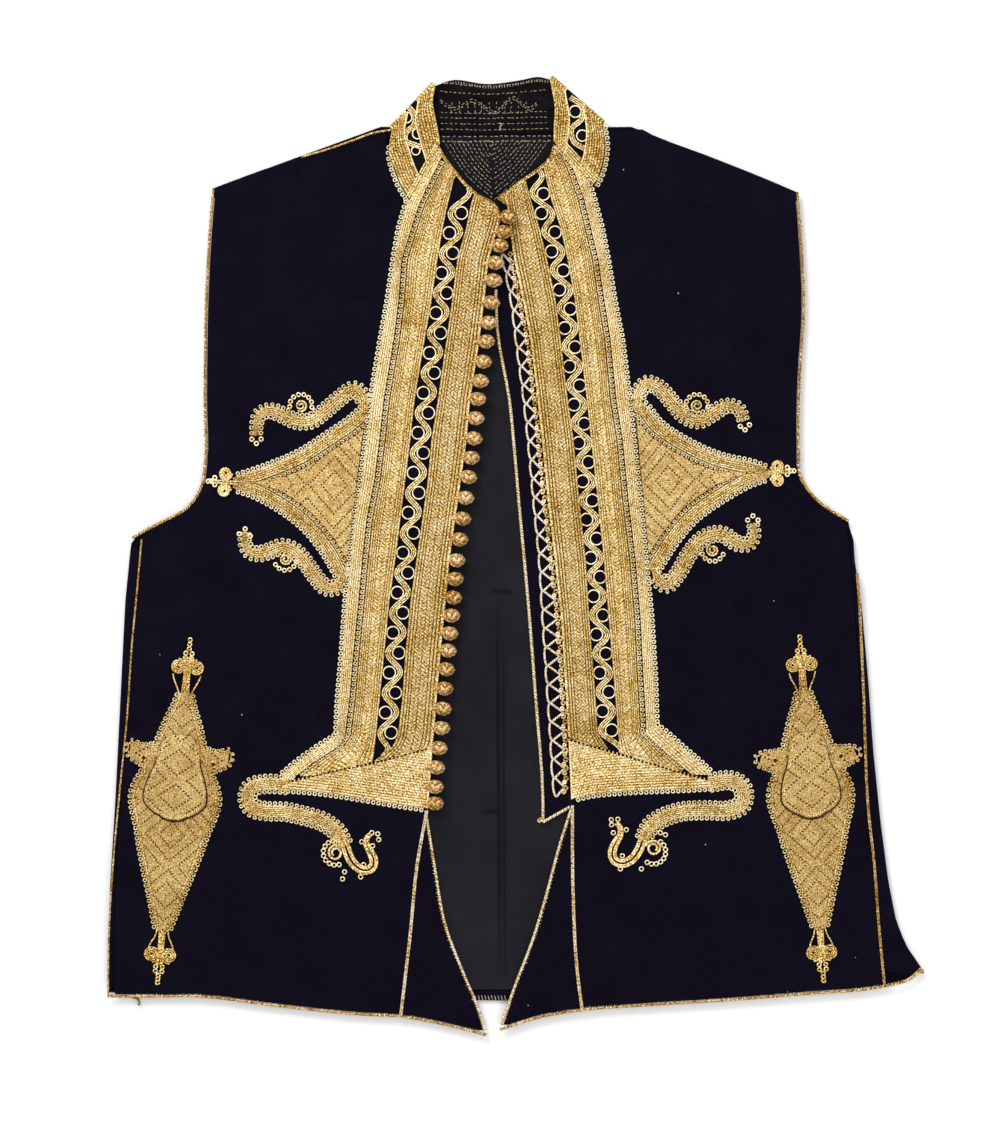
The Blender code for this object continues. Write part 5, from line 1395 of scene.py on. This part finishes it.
rng = np.random.default_rng(57)
parts = []
for row in [*(smooth(r, 6) for r in THREAD_ROWS), smooth(THREAD_WAVE, 6), smooth(THREAD_WAVE, 6) - (0, 1.8)]:
    parts.append(bars(*running(row, 1.8, 1.5, rng), COLLAR_WALL + 0.1, 0.22, 0.66))
top_row = smooth([(-49, 331.7), (-42, 331.8), (-18.5, 328.6), (3, 331), (15, 333.4), (23, 332.5)], 6)
a = spaced(top_row, 1.9)
parts.append(bars(a, a - (0, 1.7), COLLAR_WALL + 0.1, 0.26, 0.62))
for k in np.arange(0, 9, 0.75):
    point = (POINT[0] - 0.4 * k, POINT[1] + 2.0 + 4.6 * k)
    for start, bend in (((-50.5 + 4.2 * k, 291), (-33.5 + 2.2 * k, 266 + 2.6 * k)),
                        ((24 - 4.2 * k, 291), (4.5 - 2.2 * k, 266 + 2.6 * k))):
        parts.append(bars(*running(smooth([start, bend, point], 6), 1.7, 1.3, rng), LINING_TOP + 0.1, 0.21, 0.7))
knot = [(-10.7, 303), (-9.2, 301.6), (-10.6, 300), (-9.8, 297.6)]
parts.append(bars(knot[:-1], knot[1:], COLLAR_WALL + 0.2, 0.42, 0.4))
for x in np.arange(-44, 10, 5.2):
    line = [(x, 318), (x + rng.uniform(-1, 1), 308.5)]
    parts.append(bars(*running(line, 1.6, 1.4, rng), COLLAR_WALL + 0.1, 0.2, 0.6))
hem_x = np.arange(-28, -5, 2.3)
parts.append(bars(np.column_stack([hem_x, 0 * hem_x - 307.4]), np.column_stack([hem_x + 0.8, 0 * hem_x - 310.6]),
                  WOOL + 0.15, 0.3, 0.9))
for y in (289.5, 293.0):
    parts.append(bars(*running([(-70, y), (50, y + 0.8)], 2.1, 1.6, rng), LINING_TOP + 0.1, 0.27, 0.6))
piece("quilting_stitches", parts, thread_finish())


# ---------------------------------------------------------------- button loops
# One cord is looped from top to bottom along the right front edge, so that each loop takes a
# button. Its turns cross near their outer ends, and a small ring sits where they meet the braid.

LOOP_LINE = [(-11, 210.7), (-7.6, 197), (-4, 179), (-0.5, 151), (5, 109), (8, 81), (11.8, 39), (15.8, -3),
             (18.3, -45), (21, -87), (23.8, -129), (25.2, -155), (26.5, -168)]
LOOP_COUNT = 29
LOOP_TOP = UNDERLAP_FLOOR + WOOL + GAP
loop_line = smooth(LOOP_LINE, 4)
step = (loop_line[0, 1] - loop_line[-1, 1]) / LOOP_COUNT
loop_y = np.linspace(loop_line[0, 1], loop_line[-1, 1], LOOP_COUNT * 16 + 1)
loop_x = x_at(loop_line, loop_y)
room = edge_x(PANEL[1], np.maximum(loop_y, -122)) - loop_x
parts = []
for shift in (0.0, np.pi):
    turn = np.pi * (loop_line[0, 1] - loop_y) / step - np.pi / 2 + shift
    swing = np.cos(turn)
    sharp = np.arcsin(np.clip(-swing, 0, 1)) * 2 / np.pi
    out = 2.6 - 1.9 * np.clip(swing, 0, 1)**0.35 + (room - 5.2) * sharp
    path = np.column_stack([loop_x + out, loop_y])
    parts.append(tube(path, LOOP_TOP + 0.95 + 0.45 * np.sin(turn), 0.8, 6, 3.2, 0.9))
rng = np.random.default_rng(87)
for place, reach, size, tone in ((0.0, 1.9, 1.35, 0.3), (0.27, 3.1, 1.0, 0.75), (0.5, 2.0, 1.45, 0.4),
                                 (0.74, 3.0, 1.1, 0.6)):
    knot_y = loop_line[0, 1] - (np.arange(LOOP_COUNT) + place) * step + rng.uniform(-0.5, 0.5, LOOP_COUNT)
    knot_x = edge_x(PANEL[1], np.maximum(knot_y, -125)) - reach + rng.uniform(-0.4, 0.4, LOOP_COUNT)
    parts.append(rings(np.column_stack([knot_x, knot_y]), size, 0.62, LOOP_TOP + 1.2 + place, 10, 5, tone))
piece("button_loop_cord", parts, gold_cord, ["button_loops"])


# ---------------------------------------------------------------- ball buttons
# Thirty-two buttons down the left front edge. Each is a ball of knotted cord drawn out to a
# point, held by a short stem that passes under the edge of the braid.

BUTTON_ROWS = [236, 225.5, 216, 204, 192, 176.5, 162.5, 149.5, 135.5, 122, 109.5, 96, 82, 68.5, 55,
               40.5, 26, 11.5, -3, -16, -29, -41.5, -54, -66, -79, -92.5, -106.5, -120, -134, -147.5,
               -161, -172.5]
BUTTON_LENGTH = 11.6
BUTTON_RADIUS = 4.7
BUTTON_REACH = 5.6
# The first buttons lie on the braid, and the next ones, down to this height, on the underlap. A few
# at the top are worn
ON_BRAID = 4
ON_UNDERLAP = 140
WORN = 3
# Outline of a button: share of its length, share of its radius
BUTTON_SHAPE = [(0, 0.20), (0.03, 0.46), (0.1, 0.74), (0.22, 0.95), (0.36, 1.03), (0.52, 1.03), (0.66, 0.96),
                (0.78, 0.81), (0.88, 0.6), (0.95, 0.36), (0.985, 0.2), (1.0, 0.06)]


def ball_button(x, y, z, tilt, tone):
    """An egg of woven cord: its radius swells by a tenth along slanting laps, which hold 1.5 mm strands."""
    t = np.linspace(0, 1, 25)[:, None]
    a = np.linspace(0, 2 * np.pi, 30, endpoint=False)[None, :]
    shape = np.array(BUTTON_SHAPE)
    lap = np.floor(3 * t + a / np.pi)
    lean = 1 - 2 * (lap % 2)
    strand = rounded(2.5 * a / np.pi + 2.0 * t * lean) * (0.45 + 0.55 * rounded(3 * t + a / np.pi))
    r = BUTTON_RADIUS * np.interp(t, shape[:, 0], shape[:, 1]) * (0.92 + 0.1 * strand)
    along = BUTTON_LENGTH * (t - 0.5) + 0 * a
    side, up = r * np.cos(a), r * np.sin(a)
    co = np.stack([x + along * np.cos(tilt) - side * np.sin(tilt), y + along * np.sin(tilt) + side * np.cos(tilt),
                   z + up], axis=2)
    # The strands are painted lighter on their crests as painted highlight and darker between them through deep as
    # painted shade; rhomb paints furrows of shade along them.
    flow = np.stack([13.5 * a / np.pi + 10.8 * t * lean, 1.5 + 0 * along], axis=2)
    ball = part(co, round_faces(*co.shape[:2]), (1 - strand)**1.1 * 0.7, tone + 0.5 * (strand - 0.4), flow)
    ball["rhomb"] += 2.2
    return ball


button_cord = gold_finish("gold_button_cord", (1.0, 0.86, 0.84))
rng = np.random.default_rng(67)
for number, y in enumerate(BUTTON_ROWS, start=1):
    x = edge_x(PANEL[0], y) + BUTTON_REACH
    resting = LINING_TOP
    if y > ON_UNDERLAP:
        resting = UNDERLAP_FLOOR + WOOL / 2 + SEAM_CORD
    if number <= ON_BRAID:
        resting = front_over(x, y) + GAP + BRAID
    z = resting + 2 * GAP + BUTTON_RADIUS
    tone = 0.40 - 0.08 * (number <= WORN)
    parts = [ball_button(x, y, z, rng.uniform(-0.14, 0.14), tone + rng.uniform(-0.06, 0.06))]
    stem = [(x - BUTTON_LENGTH / 2 + reach, y) for reach in (1.2, -0.8, -2.6)]
    parts.append(tube(stem, [z, z - 0.4, z - 1.0], 0.9, tone=0.4))
    piece(f"ball_button_{number:02d}", parts, button_cord, [f"button_{number:02d}"])


# ---------------------------------------------------------------- edge and seam cords
# Two-ply gold cord is overcast to every edge. Thinner pairs of it run down the side seams, the
# gore seams and the underlap, and one lies along the left shoulder seam.


def stitched_cord(path, z, radius, tone, over=0.0, inward=1, twist=3.6):
    """A two-ply cord; with over > 0 also the small stitches that hold it, that far apart."""
    whole = spaced(np.column_stack([path, height_at(z, path)]), 1.0)
    p, h = whole[:, :2], whole[:, 2]
    parts = [tube(p, h, radius, 8, twist, tone)]
    if over:
        a = spaced(p, over)
        uneven = np.random.default_rng(77).uniform(-0.35, 0.35, (3, len(a), 2))
        out = beside(a, -inward * radius * 0.5) + uneven[0]
        inn = beside(a, inward * radius * 1.6) + uneven[1]
        level = float(np.mean(h)) + radius * 0.75
        tall = np.interp(np.linspace(0, 1, len(a)), np.linspace(0, 1, len(h)), h) + radius * 0.7
        q = bars(out, inn, level, 0.22, np.repeat(0.42 + uneven[2, :, 0], 12))
        q["co"][:, 2] += np.repeat(tall - level, 12)
        parts.append(q)
    return parts


# Side cords: point of the seam at which they begin, offsets and radius of their strands, and how far
# they lie off the seams along X: y, distance
SIDE_START = (1, 17)
SIDE_STRANDS = (((0.01,), 0.65),
                ((-0.45, 0.45), 0.5))
SIDE_SHIFT = (((-304, -269, -242, -199, -171, -129, -87), (-3.6, -3.3, -2.8, -1.6, -1, -0.5, 0)),
              ((-190, -148, -124, -102, -80, -57, -33), (0.6, 0.6, 1.1, 2.0, 2.4, 2.8, 3.3)))
for k, word, sign in SIDES:
    path = beside(smooth(ARMHOLE[k], 6), -sign * EDGE_CORD)[:(None, -1)[k]]
    z = height_at(front_under, path) + WOOL / 2
    piece("armhole_twist_" + word, stitched_cord(path, z, EDGE_CORD, 0.3, 3.4, sign), gold_cord,
          ["armhole_cord_" + word])
for k, word, _ in SIDES:
    path = spaced(smooth(SEAM[k], 4), 2.0)[SIDE_START[k]:-1]
    path[:, 0] += np.interp(path[:, 1], *SIDE_SHIFT[k])
    z = height_at(above(SEAM_CORD * 0.6), path)
    offsets, radius = SIDE_STRANDS[k]
    parts = []
    for offset in offsets:
        parts += stitched_cord(beside(path, offset), z, radius, 0.36, twist=3.0)
    piece("side_twist_" + word, parts, gold_cord, ["side_cord_" + word])
for k, word, sign in SIDES:
    level = beside(smooth(HEM[k] + GORE_HEM[k][1:], 4), -sign * EDGE_CORD)
    slant = beside(smooth(GORE_EDGE[k][::-1], 4), -sign * EDGE_CORD)
    parts = []
    for path, gap, tone in ((level, 1.9, 0.38), (spaced(slant, 1.0)[1:], 2.6, 0.72)):
        z = height_at(front_under, path) + WOOL / 2 + 0.3
        parts += stitched_cord(path, z, EDGE_CORD, tone, gap, -sign)
    (x, y), *rest = GORE_SEAM[k]
    path = smooth([(x, y - 1.0), *rest], 4)
    for offset in (-0.55, 0.55):
        parts += stitched_cord(beside(path, offset), above(0.9), 0.58, 0.68, twist=3.0)
    if k == 0:
        end = smooth([(-268, -308.6), (-264.6, -309.4), (-262.6, -312), (-263.4, -314.2)], 4)
        parts += stitched_cord(end, 1.9, 0.8, 0.1)
    else:
        parts.append(rings([(284.4, -290.4)], 0.8, 0.9, FRONT_FLOOR, 10, 8, 0.3))
    piece("hem_twist_" + word, parts, gold_cord, ["hem_cord_" + word])
path = np.concatenate([beside(smooth(UNDERLAP[1:], 4), -SEAM_CORD), beside(UNDERLAP_FOOT, -SEAM_CORD)[1:]])
parts = stitched_cord(path, UNDERLAP_FLOOR + WOOL / 2 + 0.4, SEAM_CORD, 0.7)
parts.append(rings([(17.2, -184.6)], 0.9, 1.0, UNDERLAP_FLOOR + WOOL, 10, 8, 0.4))
piece("underlap_twist", parts, gold_cord, ["placket_cord"])
shoulder = smooth([(-86, 297.5), (-98.7, 295.4), (-112, 290.5), (-134.4, 282.8), (-149.1, 278.6)], 5)
parts = stitched_cord(shoulder, above(0.6), 0.7, 0.45)
piece("shoulder_twist_left", parts, gold_cord)
